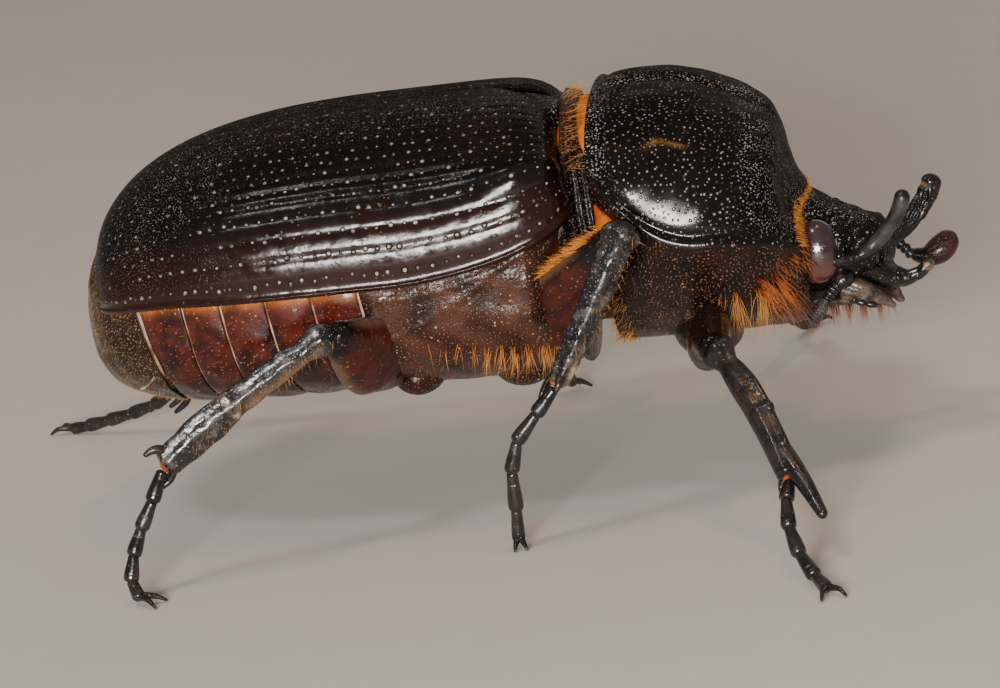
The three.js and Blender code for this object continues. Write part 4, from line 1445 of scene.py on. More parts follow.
@dataclass
class Head:
    """The horned head: capsule, eyes, three horns, mouthparts and feelers, on axes of its own."""

    neck: tuple = (12.5, 0.0, 8.7)
    yaw: float = -11.0
    roll: float = -8.0
    rear: float = -0.6
    length: float = 3.35
    half_width: float = 2.6
    eye_at: tuple = (0.86, 2.36, -0.12)
    eye_radii: tuple = (0.95, 0.8, 1.3)
    horn_knots: tuple = (
        (1.2, 2.62, -0.56), (2.15, 2.42, -0.5), (3.05, 2.3, -0.08), (3.78, 2.52, 0.56), (4.34, 2.7, 1.28),
        (4.73, 2.75, 2.2),
    )
    pits: Pits = Pits(0.21, 0.085, 0.05, seed=41)

    def place(self, points: Array) -> Array:
        """Carries points from the head's axes to the body's."""
        turn = turn_about((0, 0, 1), self.yaw) @ turn_about((1, 0, 0), self.roll)
        return points @ turn.T + np.array(self.neck)

    def capsule(self) -> None:
        """Builds the capsule, with its brow, eye sockets and pitted face."""
        share = spaced(150)[:, None]
        turn = spaced(241, -90, 270)[None, :]
        x = blend(self.rear, self.length, share)
        width = self.half_width * blend(1, 0.62, smooth((share - 0.4) / 0.7))
        close = 0.2 + 0.8 * np.sqrt(1 - np.clip((share - 0.82) / 0.18, 0, 1) ** 2)
        width = width * close
        stations, heights = (0, 0.2, 0.4, 0.55, 0.7, 0.85, 1), (2.62, 2.2, 1.72, 1.42, 1.26, 1.18, 1.1)
        top = np.interp(share, stations, heights) * close
        bottom = blend(-2.1, -1.5, share) * close
        sine, cosine = np.sin(np.radians(turn)), np.cos(np.radians(turn))
        y = width * signed_power(cosine, 0.9)
        power = blend(0.85, 1.15, smooth(sine / 0.5))
        z = 0.5 * (top + bottom) + 0.5 * (top - bottom) * np.sign(sine) * np.abs(sine) ** power
        points = joined(x, y, z)
        ex, _, ez = self.eye_at
        away = np.sqrt((points[..., 0] - ex) ** 2 + ((points[..., 2] - ez) / 1.5) ** 2)
        outer = np.abs(points[..., 1]) > 1.6
        socket = 0.12 * (1 - smooth((away - 0.6) / 0.35)) * outer
        ridge = 0.16 * hump(away, 1.02, 0.13) * outer * (points[..., 2] > ez - 0.2)
        face = smooth(sine / 0.3)
        hollow = 0.16 * hump(x, 2.7, 0.7) * hump(y, 0, 1.0) * face
        brow = 0.12 * hump(x, 2.5, 0.5) * hump(np.abs(y), 1.75, 0.4) * face
        rough = smooth((x - 0.45) / 0.5) * (0.4 + 0.6 * face)
        uneven = Ripples(0.5, 0.025, 12).at(points) * rough
        cheek = smooth((x - 0.7) / 0.5) * (1 - smooth((z - 0.3) / 0.8))
        uneven = uneven + Ripples(0.75, 0.055, 23).at(points) * cheek
        depth = 0.3 * self.pits.at(points) * rough + uneven
        points = press(points, depth + socket + hollow - ridge - brow)
        crowd = 0.82 * blend(0.4, 1, smooth((points[..., 2] - 0.2) / 1.0))
        piece = shell("head_capsule", self.place(points), crowd=crowd)
        dress(piece, Finish.SHELL, Slot.SHELL, "head")

    def eyes(self, side: Side) -> None:
        """Builds one eye and the bar of the head's rim that divides it.

        Args:
            side: the eye's side.
        """
        x, y, z = self.eye_at
        globe = ball((x, side.value * y, z), self.eye_radii, 90, 120)
        low = 0.9 * smooth((z - 0.1 - globe[..., 2]) / 0.8)
        dress(
            weave(f"eye_{side.word}_globe", self.place(globe), tan=low), Finish.EYE, Slot.EYE,
            f"eye_{side.word}"
        )
        sign = side.value
        knots = [
            (1.65, sign * 2.2, 0.75), (1.8, sign * 2.5, 0.25), (1.85, sign * 2.55, -0.15),
            (1.7, sign * 2.6, -0.5)
        ]
        bar = Shaft(knots, lambda t: 0.15 + 0.07 * np.sin(9 * t), lambda t: 0.2 + 0 * t, rows=60, columns=36)
        ridge = bar.grid()
        ridge = press(ridge, self.pits.at(ridge) * 0.7)
        dress(weave(f"canthus_{side.word}", self.place(ridge)), Finish.SHELL, Slot.SHELL)

    def horn(self, side: Side) -> None:
        """Builds one side horn: the right one worn smooth, the left one wrinkled and chipped.

        Args:
            side: the horn's side.
        """
        knots = [(x, side.value * y, z) for x, y, z in self.horn_knots]
        smooth_side = side is Side.RIGHT
        girth = 0.3 if smooth_side else 0.4

        def radius(t: Array) -> Array:
            """Half the horn's height: a low keel over the cheek, then an even shaft, full at the tip."""
            return blend(0.24, girth, smooth((t - 0.12) / 0.33)) + 0.03 * hump(t, 0.93, 0.1)

        def across(t: Array) -> Array:
            """Half the horn's width, broad where it grows from the cheek."""
            return 0.94 * radius(t) + 0.4 * hump(t, 0.3, 0.17)

        shaft = Shaft(knots, radius, across, rows=170, columns=72, start_round=0.06, end_round=0.07)
        points = shaft.grid()
        share, around = shaft.places()
        chip = hump(share, 0.85, 0.025) * hump(around, 2.3, 0.6)
        relief = Ripples(0.7, 0.012, 5).at(points)
        relief = relief + self.pits.at(points) * smooth((0.4 - share) / 0.15)
        if not smooth_side:
            relief = relief + Pits(0.24, 0.09, 0.04, seed=44).at(points)
            wrinkles = np.sin(11 * around + 5 * np.sin(9 * share))
            relief = relief + 0.035 * wrinkles * smooth((0.86 - share) / 0.1)
            relief = relief + 0.12 * chip
        points = press(points, relief * smooth(share / 0.1) * smooth((1 - share) / 0.04))
        # The right horn is black at its root and tip, so that the painted grey sheen shows only between them.
        dark = 0.85 * smooth((share - 0.84) / 0.1) + 0.8 * smooth((0.55 - share) / 0.25)
        dark = dark * smooth_side + 0 * around
        piece = weave(f"horn_{side.word}_shaft", self.place(points), wear=chip * (not smooth_side), dark=dark)
        dress(piece, Finish.SATIN if smooth_side else Finish.HORN, Slot.SHELL, f"horn_{side.word}")

    def clypeus(self) -> None:
        """Builds the plate over the mouth, which narrows forward and turns up into the third horn."""
        knots = [
            (2.1, 0, -0.5), (2.7, 0, -1.2), (3.25, 0, -1.58), (3.85, 0, -1.66), (4.45, 0, -1.48),
            (4.95, 0, -1.06)
        ]

        def width(t: Array) -> Array:
            """Half the plate's width, drawn in to the horn's."""
            return blend(1.6, 0.36, smooth(1.15 * t)) + 0.04 * hump(t, 0.95, 0.08)

        shaft = Shaft(
            knots, lambda t: blend(0.56, 0.25, smooth((t - 0.25) / 0.6)), width, rows=150, columns=84,
            squareness=0.8, start_round=0.05, end_round=0.07,
        )
        points = shaft.grid()
        share, turn = shaft.places()
        upper = smooth(np.sin(turn) / 0.4)
        pits = Pits(0.2, 0.07, 0.025, seed=45).at(points)
        beside = np.abs(np.cos(turn))
        rim = 0.08 * hump(beside, 1.0, 0.12) - 0.09 * hump(beside, 0.75, 0.14) * upper
        depth = (pits * (0.4 + 0.6 * upper) - rim + Ripples(0.5, 0.02, 7).at(points)) * smooth(share / 0.1)
        points = press(points, depth * smooth((1 - share) / 0.05))
        wear = smooth((share - 0.86) / 0.06) * smooth((1 - share) / 0.05) * hump(np.sin(turn), -0.3, 0.7)
        piece = weave("clypeus_plate", self.place(points), wear=wear)
        dress(piece, Finish.HORN, Slot.SHELL, "clypeus")

    def jaws(self, side: Side) -> None:
        """Builds one mandible and the jointed palp beside it.

        Args:
            side: their side.
        """
        sign, word = side.value, side.word
        knots = [
            (1.5, sign * 1.35, -1.7), (2.3, sign * 1.35, -1.9), (2.95, sign * 1.1, -2.25),
            (3.5, sign * 0.65, -2.75)
        ]
        jaw = Shaft(
            knots, lambda t: blend(0.58, 0.1, t**1.2), lambda t: blend(0.7, 0.16, t), rows=90, columns=56,
            squareness=0.85, end_round=0.08,
        ).grid()
        relief = 0.014 * np.sin(22 * jaw[..., 2] + 9 * jaw[..., 0]) + Ripples(0.5, 0.008, 8).at(jaw)
        dress(
            weave(f"mandible_{word}_jaw", self.place(press(jaw, relief))), Finish.JAW, Slot.SHELL,
            f"mandible_{word}"
        )
        joints = [
            (1.7, sign * 1.4, -2.15), (2.1, sign * 1.65, -2.32), (2.5, sign * 1.66, -2.44),
            (2.95, sign * 1.5, -2.56)
        ]
        beads = []
        form = (None, (0, 0, 1), 20, 16, 1, 0.2, 0.2)
        for ends in zip(joints, joints[1:]):
            bead = Shaft(list(ends), lambda t: 0.09 + 0.04 * np.sin(math.pi * t**0.8), *form)
            beads.append(self.place(bead.grid()))
        dress(weave(f"palp_{word}_joints", *beads), Finish.LEG, Slot.LEG, f"palp_{word}")

    def chin(self) -> None:
        """Builds the plate under the mouth."""
        knots = [(-0.2, 0, -2.2), (1.2, 0, -2.34), (2.3, 0, -2.42), (3.2, 0, -2.5)]
        plate = Shaft(
            knots, lambda t: 0.36 - 0.2 * t, lambda t: blend(1.6, 0.5, smooth(t)), rows=90, columns=60,
            squareness=0.9,
        ).grid()
        relief = 0.3 * self.pits.at(plate) + Ripples(0.7, 0.014, 15).at(plate)
        dress(weave("labium_plate", self.place(press(plate, relief))), Finish.JAW, Slot.SHELL, "labium")

    def feeler(self, side: Side, stalk: list, club: list, full: float, finish: Finish) -> None:
        """Builds one feeler.

        Args:
            side: the feeler's side.
            stalk: the knots of its stalk, from the head.
            club: the knots of its club.
            full: how far the club's leaves stand out from its rings.
            finish: the club's finish.
        """

        def stem(t: Array) -> Array:
            """The stalk's radius: a pear-shaped first joint, then small round ones."""
            pear = 0.2 + 0.2 * np.sin(math.pi * np.clip(t / 0.52, 0, 1)) ** 0.8
            beads = 0.17 + 0.07 * np.abs(np.sin(math.pi * (t - 0.52) / 0.12))
            return np.where(t < 0.52, pear, beads)

        stem_grid = Shaft(stalk, stem, rows=110, columns=30, end_round=0.04).grid()
        dress(
            weave(f"feeler_stalk_{side.word}", self.place(stem_grid)), Finish.LEG, Slot.LEG,
            f"antenna_stalk_{side.word}"
        )

        def head(t: Array) -> Array:
            """The club's radius: rings first, then an oval of three leaves."""
            rings = 0.18 + 0.55 * t * (full > 0.1) + 0.07 * np.abs(np.sin(math.pi * t / 0.055))
            leaf = 0.25 + full * np.sin(math.pi * np.clip((t - 0.2) / 0.8, 0, 1)) ** 0.7
            return blend(rings, leaf + 0.04 * np.sin(50 * t) * (full < 0.1), smooth((t - 0.22) / 0.1))

        rounds = {"start_round": 0.05, "end_round": 0.12}
        oval = Shaft(club, head, lambda t: 1.1 * head(t), rows=120, columns=60, **rounds)
        leaves = oval.grid()
        share, turn = oval.places()
        seams = 0.05 * sum(hump(np.abs(turn - at), 0, 0.07) for at in (0.5, 2.64, 3.64, 5.78))
        leaves = press(leaves, seams * smooth((share - 0.3) / 0.1))
        dark = smooth((0.36 - share) / 0.08) + 0 * turn
        piece = weave(f"feeler_club_{side.word}", self.place(leaves), dark=dark * (full > 0.1))
        dress(piece, finish, Slot.CLUB, f"antenna_club_{side.word}")

    def build(self) -> None:
        """Builds the head's pieces."""
        self.capsule()
        self.clypeus()
        self.chin()
        for side in Side:
            self.eyes(side)
            self.horn(side)
            self.jaws(side)
        self.feeler(
            Side.RIGHT, [(2.0, -1.75, -1.1), (1.65, -2.25, -1.45), (1.3, -2.6, -1.85), (1.15, -2.7, -2.1)],
            [(1.15, -2.7, -2.05), (0.88, -2.85, -2.45), (0.5, -3.0, -2.9)], 0.03, Finish.RINGED,
        )
        self.feeler(
            Side.LEFT, [(1.9, 1.8, -0.9), (2.45, 2.5, -0.55), (2.95, 3.0, -0.6), (3.45, 3.36, -1.2)],
            [(3.4, 3.36, -1.12), (3.95, 3.6, -1.26), (4.5, 3.82, -1.06), (5.12, 4.05, -0.4)], 0.32,
            Finish.CLUB,
        )


# ---- legs


@dataclass(frozen=True)
class LegBuild:
    """The thickness of a pair of legs and the thorns of its tibiae, in millimetres and degrees.

    A thorn has its share of the tibia's length, its turn round it, how far it stands out and
    on towards the foot, and its radius.
    """

    coxa: tuple
    deep: float
    thin: float
    shank: float
    apex: float
    side: tuple
    broad: tuple
    bow: float
    thorns: tuple
    teeth: int
    collar: float = 0.56


class Pair(Named):
    """The three pairs of legs."""

    FRONT = LegBuild(
        (1.45, 1.75, 1.25), 1.25, 0.85, 0.62, 0.5, (0.46, 0.44), (0.3, 0, 1), 0.3,
        ((0.82, 0, 0.02, 3.65, 0.44), (0.55, 0, 0.04, 0.5, 0.36), (0.95, 180, 0.3, 0.8, 0.2)), 2,
    )
    MIDDLE = LegBuild(
        (1.35, 1.8, 1.05), 1.45, 0.8, 0.66, 0.5, (0.66, 0.4), (-0.8, 0, 0.6), 0.15,
        ((0.93, 150, 0.3, 1.3, 0.22), (0.93, 0, 0.35, 0.7, 0.25)), 7, 0.78,
    )
    HIND = LegBuild(
        (1.1, 1.7, 0.9), 1.6, 0.85, 0.54, 0.6, (0.42, 0.5), (0.5, 0, 1), 0.2,
        ((0.93, 165, 0.35, 1.6, 0.22), (0.93, 0, 0.45, 0.9, 0.26), (0.95, 200, 0.15, 1.2, 0.18)), 9,
    )


@dataclass
class Leg:
    """One leg, from the joints that its pose gives."""

    pair: Pair
    side: Side
    coxa: tuple
    hip: tuple
    knee: tuple
    ankle: tuple
    toes: tuple
    claws: tuple
    gap: float = 0.12
    knee_back: float = 0.3
    knob: float = 0.16

    @property
    def key(self) -> str:
        """The leg's name, as the frame's nodes have it."""
        return f"{self.pair.word}_{self.side.word}"

    def name(self, part: str) -> str:
        """The name of the frame's node for a part of this leg."""
        return f"{part}_{self.key}"

    def hip_joint(self) -> None:
        """Builds the coxa, a pitted ball half sunk in the breast."""
        joint = ball(self.coxa, self.pair.value.coxa, 60, 80)
        joint = press(joint, Pits(0.3, 0.1, 0.04, seed=51).at(joint))
        finish = Finish.LEG if self.pair is Pair.FRONT else Finish.BREAST
        dress(weave(self.name("coxa") + "_ball", joint), finish, Slot.STERNUM, self.name("coxa"))

    def thigh(self) -> None:
        """Builds the femur: a broad red-brown plate, black and round at the knee."""
        build = self.pair.value

        def swell(t: Array, start: float, end: float) -> Array:
            """Swells from start to 1 and falls to end."""
            peak = 0.33 if self.pair is Pair.MIDDLE else 0.42
            return np.where(
                t < peak, blend(start, 1, smooth(t / peak)), blend(1, end, smooth((t - peak) / (1 - peak)))
            )

        plate = Shaft(
            [self.hip, self.knee], lambda t: build.deep * swell(t, 0.5, 0.42),
            lambda t: build.thin * swell(t, 0.6, 0.66), build.broad, 100, 64, 0.88, 0.06, 0.09,
        )
        points = plate.grid()
        share, turn = plate.places()
        edges = hump(np.abs(np.sin(turn)), 1.0, 0.08)
        keel = 0.1 * edges * smooth(share / 0.15) * smooth((0.9 - share) / 0.2)
        pits = Pits(0.36, 0.075, 0.03, seed=52).at(points)
        points = press(points, (pits + Ripples(0.9, 0.02, 14).at(points)) * smooth((1 - share) / 0.1) - keel)
        black_from = 0.6 if self.pair is Pair.MIDDLE else 0.72
        dark = np.maximum(smooth((share - black_from) / 0.16), 0.9 * (self.pair is Pair.FRONT)) + 0 * turn
        rim = 0.9 * hump(np.abs(np.sin(turn)), 1.0, 0.12) * (1 - dark) * smooth(share / 0.2)
        piece = weave(self.name("femur") + "_plate", points, dark=dark, tan=rim)
        dress(piece, Finish.THIGH, Slot.FEMUR, self.name("femur"))

    def shin(self) -> None:
        """Builds the tibia: keeled and toothed outside, hollowed and tan inside, with its spurs."""
        build = self.pair.value
        knee, ankle = np.array(self.knee), np.array(self.ankle)
        run = float(np.linalg.norm(ankle - knee))
        along = (ankle - knee) / run
        across = np.cross((0.6, 0, 1), along)
        across /= np.linalg.norm(across)
        up = np.cross(along, across)
        start = knee - along * self.knee_back
        knots = [
            blend(start, ankle, t) + up * build.bow * math.sin(math.pi * t) for t in (0, 0.25, 0.5, 0.75, 1)
        ]

        def deep(t: Array) -> Array:
            """Half the tibia's depth: a knob at the knee, then slim, then flared."""
            slim = blend(build.shank, build.apex, t**1.6)
            slim = slim + self.knob * hump(t, 0.07, 0.06) - 0.1 * hump(t, 0.19, 0.05)
            slim = slim - 0.1 * hump(t, 0.24, 0.1) * (self.pair is Pair.FRONT)
            return slim + (0.16 * hump(t, 0.74, 0.14) - 0.05 * hump(t, 0.56, 0.03)) * (self.pair is Pair.HIND)

        def thin(t: Array) -> Array:
            """Half the tibia's thickness, with the same knob."""
            return blend(*build.side, t) + 0.14 * hump(t, 0.07, 0.06) - 0.04 * hump(t, 0.19, 0.05)

        shaft = Shaft(knots, deep, thin, tuple(up), 150, 56, 0.92, 0.09, 0.04)
        shank, (share, turn) = shaft.grid(), shaft.places()
        turn = np.degrees(turn)
        body = smooth(share / 0.15) * smooth((1 - share) / 0.08)
        teeth = 0.6 + 0.4 * np.sin(math.pi * build.teeth * share - 1.0) ** 2
        keel = 0.13 * hump(turn, 90, 16) * teeth + 0.05 * hump(turn, 20, 14) + 0.05 * hump(turn, 160, 14)
        hollow = 0.08 * hump(turn, 270, 26) + 0.04 * hump(turn, 52, 14) + 0.04 * hump(turn, 128, 14)
        collar = 0.09 * hump(share, build.collar, 0.02) * hump(turn, 90, 75)
        pits = Pits(0.5, 0.09, 0.018, seed=53).at(shank)
        lumps = Ripples(0.9, 0.03, 17).at(shank) * (self.pair is not Pair.FRONT)
        shank = press(shank, (hollow - keel - collar + pits + lumps) * body)
        facing = turn if self.side is Side.RIGHT else (180 - turn) % 360
        facing = (facing + 180) % 360 - 180
        face = hump(facing, -38, 36) * smooth((share - 0.12) / 0.2) * smooth((build.collar - share) / 0.06)
        if self.pair is Pair.MIDDLE:
            bare = hump(share, 0.84, 0.075) * hump(facing, 40, 34)
        else:
            bare = hump(share, build.collar + 0.01, 0.012) * hump(facing, -10, 60) * (self.pair is Pair.HIND)
        marks = {"tan": face * (self.pair is Pair.HIND), "wear": bare}
        piece = weave(self.name("tibia") + "_shank", shank, **marks)
        finish = Finish.LEG if self.pair is Pair.FRONT else Finish.PITTED
        dress(piece, finish, Slot.LEG, self.name("tibia"))
        thorns = []
        for at, turned, out, on, radius in build.thorns:
            angle = math.radians(turned)
            way = up * math.cos(angle) - across * math.sin(angle)
            root = knee + along * at * run + up * build.bow * math.sin(math.pi * at)
            edge = blend(build.shank, build.apex, at) - 0.6 * radius
            middle = root + way * (edge + 0.8 * out) + along * 0.45 * on
            tip = root + way * (edge + out) + along * on
            knots = [root + way * 0.5 * edge, middle, tip]
            point = 0.2 if on > 3 else 0.09
            form = (None, tuple(up), 50, 26, 1, 0.05, 0.07)
            thorns.append(Shaft(knots, lambda t: blend(radius, point, t**1.3), *form).grid())
        dress(weave(self.name("tibia") + "_spurs", *thorns), Finish.LEG, Slot.LEG)

    def foot(self) -> None:
        """Builds the tarsus: five flared joints and two hooked claws, flat where they meet the floor."""
        ankle = np.array(self.ankle)
        joints = [ankle + 0.1 * (np.array(self.toes[0]) - ankle), *(np.array(toe) for toe in self.toes)]
        grids = []
        for index, (start, end) in enumerate(zip(joints, joints[1:])):
            last = index == len(joints) - 2
            reach = end + 0.12 * (end - start)

            def flare(t: Array, full: float = 0.27 if last else 0.31) -> Array:
                """The joint's radius: slim at its root and flared at its end."""
                return blend(0.22, full, smooth(t / 0.8))

            grids.append(Shaft([start, reach], flare, None, (0.3, 0.2, 1), 40, 28, 1, 0.1, 0.18).grid())
            if not last:
                sole = end - np.array([0, 0, 0.22])
                pad = [end - 0.3 * (end - start) - np.array([0, 0, 0.1]), sole + 0.25 * (end - start)]
                grids.append(Shaft(pad, lambda t: 0.09 - 0.05 * t, None, (0.3, 0.2, 1), 16, 10).grid())
        tip, way = joints[-1], np.array([*self.claws, 0.0])
        for splay in (-26, 26):
            ahead = turn_about((0, 0, 1), splay) @ way
            knots = [
                tip - 0.2 * way, tip + 0.3 * ahead + (0, 0, 0.06), [*(tip + 0.75 * ahead)[:2], 0.3],
                [*(tip + 1.15 * ahead)[:2], 0.07],
            ]
            grids.append(Shaft(knots, lambda t: blend(0.17, 0.05, t**1.3), None, (0, 0, 1), 44, 20).grid())
        for grid in grids:
            grid[..., 2] = np.maximum(grid[..., 2], 0)
        dress(weave(self.name("tarsus") + "_joints", *grids), Finish.LEG, Slot.LEG, self.name("tarsus"))

    def joint_skins(self) -> None:
        """Builds the soft skin that shows at the knee and the ankle."""
        knee, ankle, hip = (np.array(point) for point in (self.knee, self.ankle, self.hip))
        shin = (ankle - knee) / np.linalg.norm(ankle - knee)
        thigh = (knee - hip) / np.linalg.norm(knee - hip)
        folds = (
            [knee - 0.9 * thigh + 0.2 * shin, knee + 0.5 * shin], [ankle - 0.3 * shin, ankle + 0.08 * shin]
        )
        balls = [
            Shaft(list(ends), lambda t: 0.3 + 0 * t, None, (0.3, 0.2, 1), 24, 24, 1, 0.3, 0.3).grid()
            for ends in folds
        ]
        dress(weave(f"joint_skin_{self.key}", *balls), Finish.AMBER, Slot.MEMBRANE)

    def build(self) -> None:
        """Builds the leg's pieces."""
        self.hip_joint()
        self.thigh()
        self.shin()
        self.foot()
        self.joint_skins()


def legs() -> list[Leg]:
    """Lists the legs in their pose, from hip to claws.

    Returns:
        The six legs.
    """
    right, left = Side.RIGHT, Side.LEFT
    return [
        Leg(
            Pair.FRONT, right, (8.2, -2.5, 6.3), (8.1, -3.9, 6.6), (8.85, -8.9, 7.05), (11.55, -13.75, 3.0),
            ((11.35, -14.5, 2.45), (11.4, -15.6, 1.7), (11.75, -16.8, 1), (12.3, -17.9, 0.45),
             (12.75, -18.8, 0.22)), (0.3, -0.95),
        ),
        Leg(
            Pair.FRONT, left, (8.2, 2.5, 6.3), (8.1, 3.9, 6.6), (9.2, 8.9, 7.1), (10.25, 13.5, 3.0),
            ((10.1, 14.3, 2.45), (10.1, 15.4, 1.7), (10.3, 16.6, 1), (10.7, 17.7, 0.45),
             (11.1, 18.6, 0.22)), (0.35, 0.93),
        ),
        Leg(
            Pair.MIDDLE, right, (0.6, -2.7, 5.8), (0.7, -4.2, 6.4), (5.85, -8.2, 12.1), (2.6, -9.7, 6.5),
            ((1.7, -9.95, 5.5), (0.8, -10.05, 4.5), (0.42, -10.05, 3.3), (0.38, -9.95, 1.7),
             (0.3, -9.9, 0.42)), (0.1, -0.5),
        ),
        Leg(
            Pair.MIDDLE, left, (0.6, 2.7, 5.8), (0.7, 4.2, 6.4), (5.2, 8.4, 11.2), (1.6, 10.4, 5.8),
            ((0.9, 10.7, 4.7), (0.5, 11, 3.7), (0.3, 11.3, 2.6), (0.3, 11.6, 1.4),
             (0.55, 11.95, 0.4)), (0.5, 0.6),
        ),
        Leg(
            Pair.HIND, right, (-3.7, -3.2, 5.85), (-4.2, -4.4, 6.3), (-6.15, -8.9, 9.25),
            (-13.2, -10.75, 5.1), ((-13.75, -11.2, 3.9), (-14.3, -11.5, 2.9), (-14.7, -11.85, 1.95),
                                   (-14.9, -12.15, 1), (-14.6, -12.5, 0.35)), (0.9, -0.3),
        ),
        Leg(
            Pair.HIND, left, (-3.7, 3.2, 5.85), (-4.2, 4.4, 6.3), (-9.4, 8.4, 7.6), (-16.9, 11, 2.3),
            ((-18.2, 11.6, 1.5), (-19.4, 12.1, 1.05), (-20.6, 12.6, 0.7), (-21.7, 13.05, 0.42),
             (-22.5, 13.4, 0.24)), (-0.9, 0.35),
        ),
    ]


# ---- setae


@dataclass(frozen=True)
class Coat:
    """Setae rooted on part of some plates, each a thin tapering bristle, with sizes in millimetres.

    A bristle sets out along the plate's normal and its lean, and its tip is carried on by its
    bend. Both are in the body's axes, with +Y away from the middle on either side.
    """

    name: str
    plates: tuple[str, ...]
    finish: Finish
    count: int
    where: Callable[[Array, Array, Array, Array], Array]
    length: float
    lean: tuple = (0, 0, 0)
    bend: tuple = (0, 0, 0)
    stand: float = 1.0
    wild: float = 0.25
    radius: float = 0.02
    seed: int = 61

    def roots(self, skin: Array, count: int) -> tuple[Array, Array, Array]:
        """Scatters roots over the part of a plate that bears setae, evenly by area.

        Args:
            skin: the plate's grid.
            count: how many roots are wanted.

        Returns:
            The roots, the plate's normals there, and their places on its unwrap.
        """
        draw = np.random.default_rng(self.seed)
        normals = normals_of(skin)
        corner, right, ahead = skin[:-1, :-1], skin[:-1, 1:], skin[1:, :-1]
        area = np.linalg.norm(np.cross(right - corner, ahead - corner), axis=-1)
        weight = (area * self.where(*np.moveaxis(corner, -1, 0), normals[:-1, :-1])).reshape(-1)
        cell = draw.choice(weight.size, count, p=weight / weight.sum())
        row, column = np.divmod(cell, area.shape[1])
        across, along = draw.random((2, count, 1))
        root = corner[row, column]
        root = root + across * (right[row, column] - root) + along * (ahead[row, column] - root)
        unwrap = np.stack(
            [(row + along[:, 0]) / area.shape[0], (column + across[:, 0]) / area.shape[1]], axis=1
        )
        return root, normals[row, column], unwrap

    def strand(self) -> tuple[bpy.types.Object, Array]:
        """Makes one bristle of unit length along Z.

        Returns:
            The bristle, and its points.
        """
        cone = bmesh.new()
        bmesh.ops.create_cone(cone, cap_ends=True, segments=3, radius1=1.0, radius2=0.2, depth=1.0)
        sides = [edge for edge in cone.edges if abs(edge.verts[0].co.z - edge.verts[1].co.z) > 0.5]
        bmesh.ops.subdivide_edges(cone, edges=sides, cuts=3)
        bmesh.ops.translate(cone, verts=cone.verts, vec=(0, 0, 0.5))
        piece = poured(cone, bpy.data.meshes.new(self.name))
        points = np.empty(3 * len(piece.data.vertices))
        piece.data.vertices.foreach_get("co", points)
        return piece, points.reshape(-1, 3)

    def build(self) -> None:
        """Builds the coat as one joined mesh."""
        share = self.count // len(self.plates)
        found = [self.roots(SKINS[plate], share) for plate in self.plates]
        root, normal, unwrap = (np.concatenate(parts) for parts in zip(*found))
        count = len(root)
        draw = np.random.default_rng(self.seed + 1)
        outward = np.stack([np.ones(count), np.where(root[:, 1] < 0, -1, 1), np.ones(count)], axis=1)
        way = self.stand * normal + np.array(self.lean) * outward + self.wild * draw.normal(size=(count, 3))
        way /= length(way)
        bend = np.array(self.bend) * outward + 0.5 * self.wild * draw.normal(size=(count, 3))
        reach = self.length * draw.uniform(0.45, 1.15, (count, 1))
        side = np.cross(way, draw.normal(size=(count, 3)))
        side /= length(side)
        piece, unit = self.strand()
        array = piece.modifiers.new("copies", "ARRAY")
        array.count = count
        array.use_relative_offset = False
        mesh = bpy.data.meshes.new_from_object(piece.evaluated_get(bpy.context.evaluated_depsgraph_get()))
        piece.modifiers.clear()
        piece.data = mesh
        mesh.name = self.name
        along, thick = unit[None, :, 2:], self.radius * (1 - 0.75 * unit[None, :, 2:] ** 2)
        line = root[:, None] - 0.04 * way[:, None]
        line = line + reach[:, None] * (along * way[:, None] + along**2 * bend[:, None])
        spread = unit[None, :, :1] * side[:, None] + unit[None, :, 1:2] * np.cross(way, side)[:, None]
        points = line + thick * spread
        mesh.vertices.foreach_set("co", (points * MM + ORIGIN).reshape(-1))
        tint = np.repeat(draw.random(count), len(unit))
        mark_points(mesh, {"share": np.tile(unit[:, 2], count), "tint": tint})
        corners = np.empty(len(mesh.loops), int)
        mesh.loops.foreach_get("vertex_index", corners)
        patch = 0.003 * np.stack([0.5 * unit[:, 0], unit[:, 2] - 0.5], axis=1)
        low, high = unwrap.min(axis=0), unwrap.max(axis=0)
        places = 0.01 + 0.98 * (unwrap - low) / np.maximum(high - low, 1e-6)
        places = (places[:, None] + patch[None]).reshape(-1, 2)
        mesh.uv_layers.new(name="OFBake").data.foreach_set("uv", places[corners].reshape(-1))
        dress(piece, self.finish, Slot.SETAE)


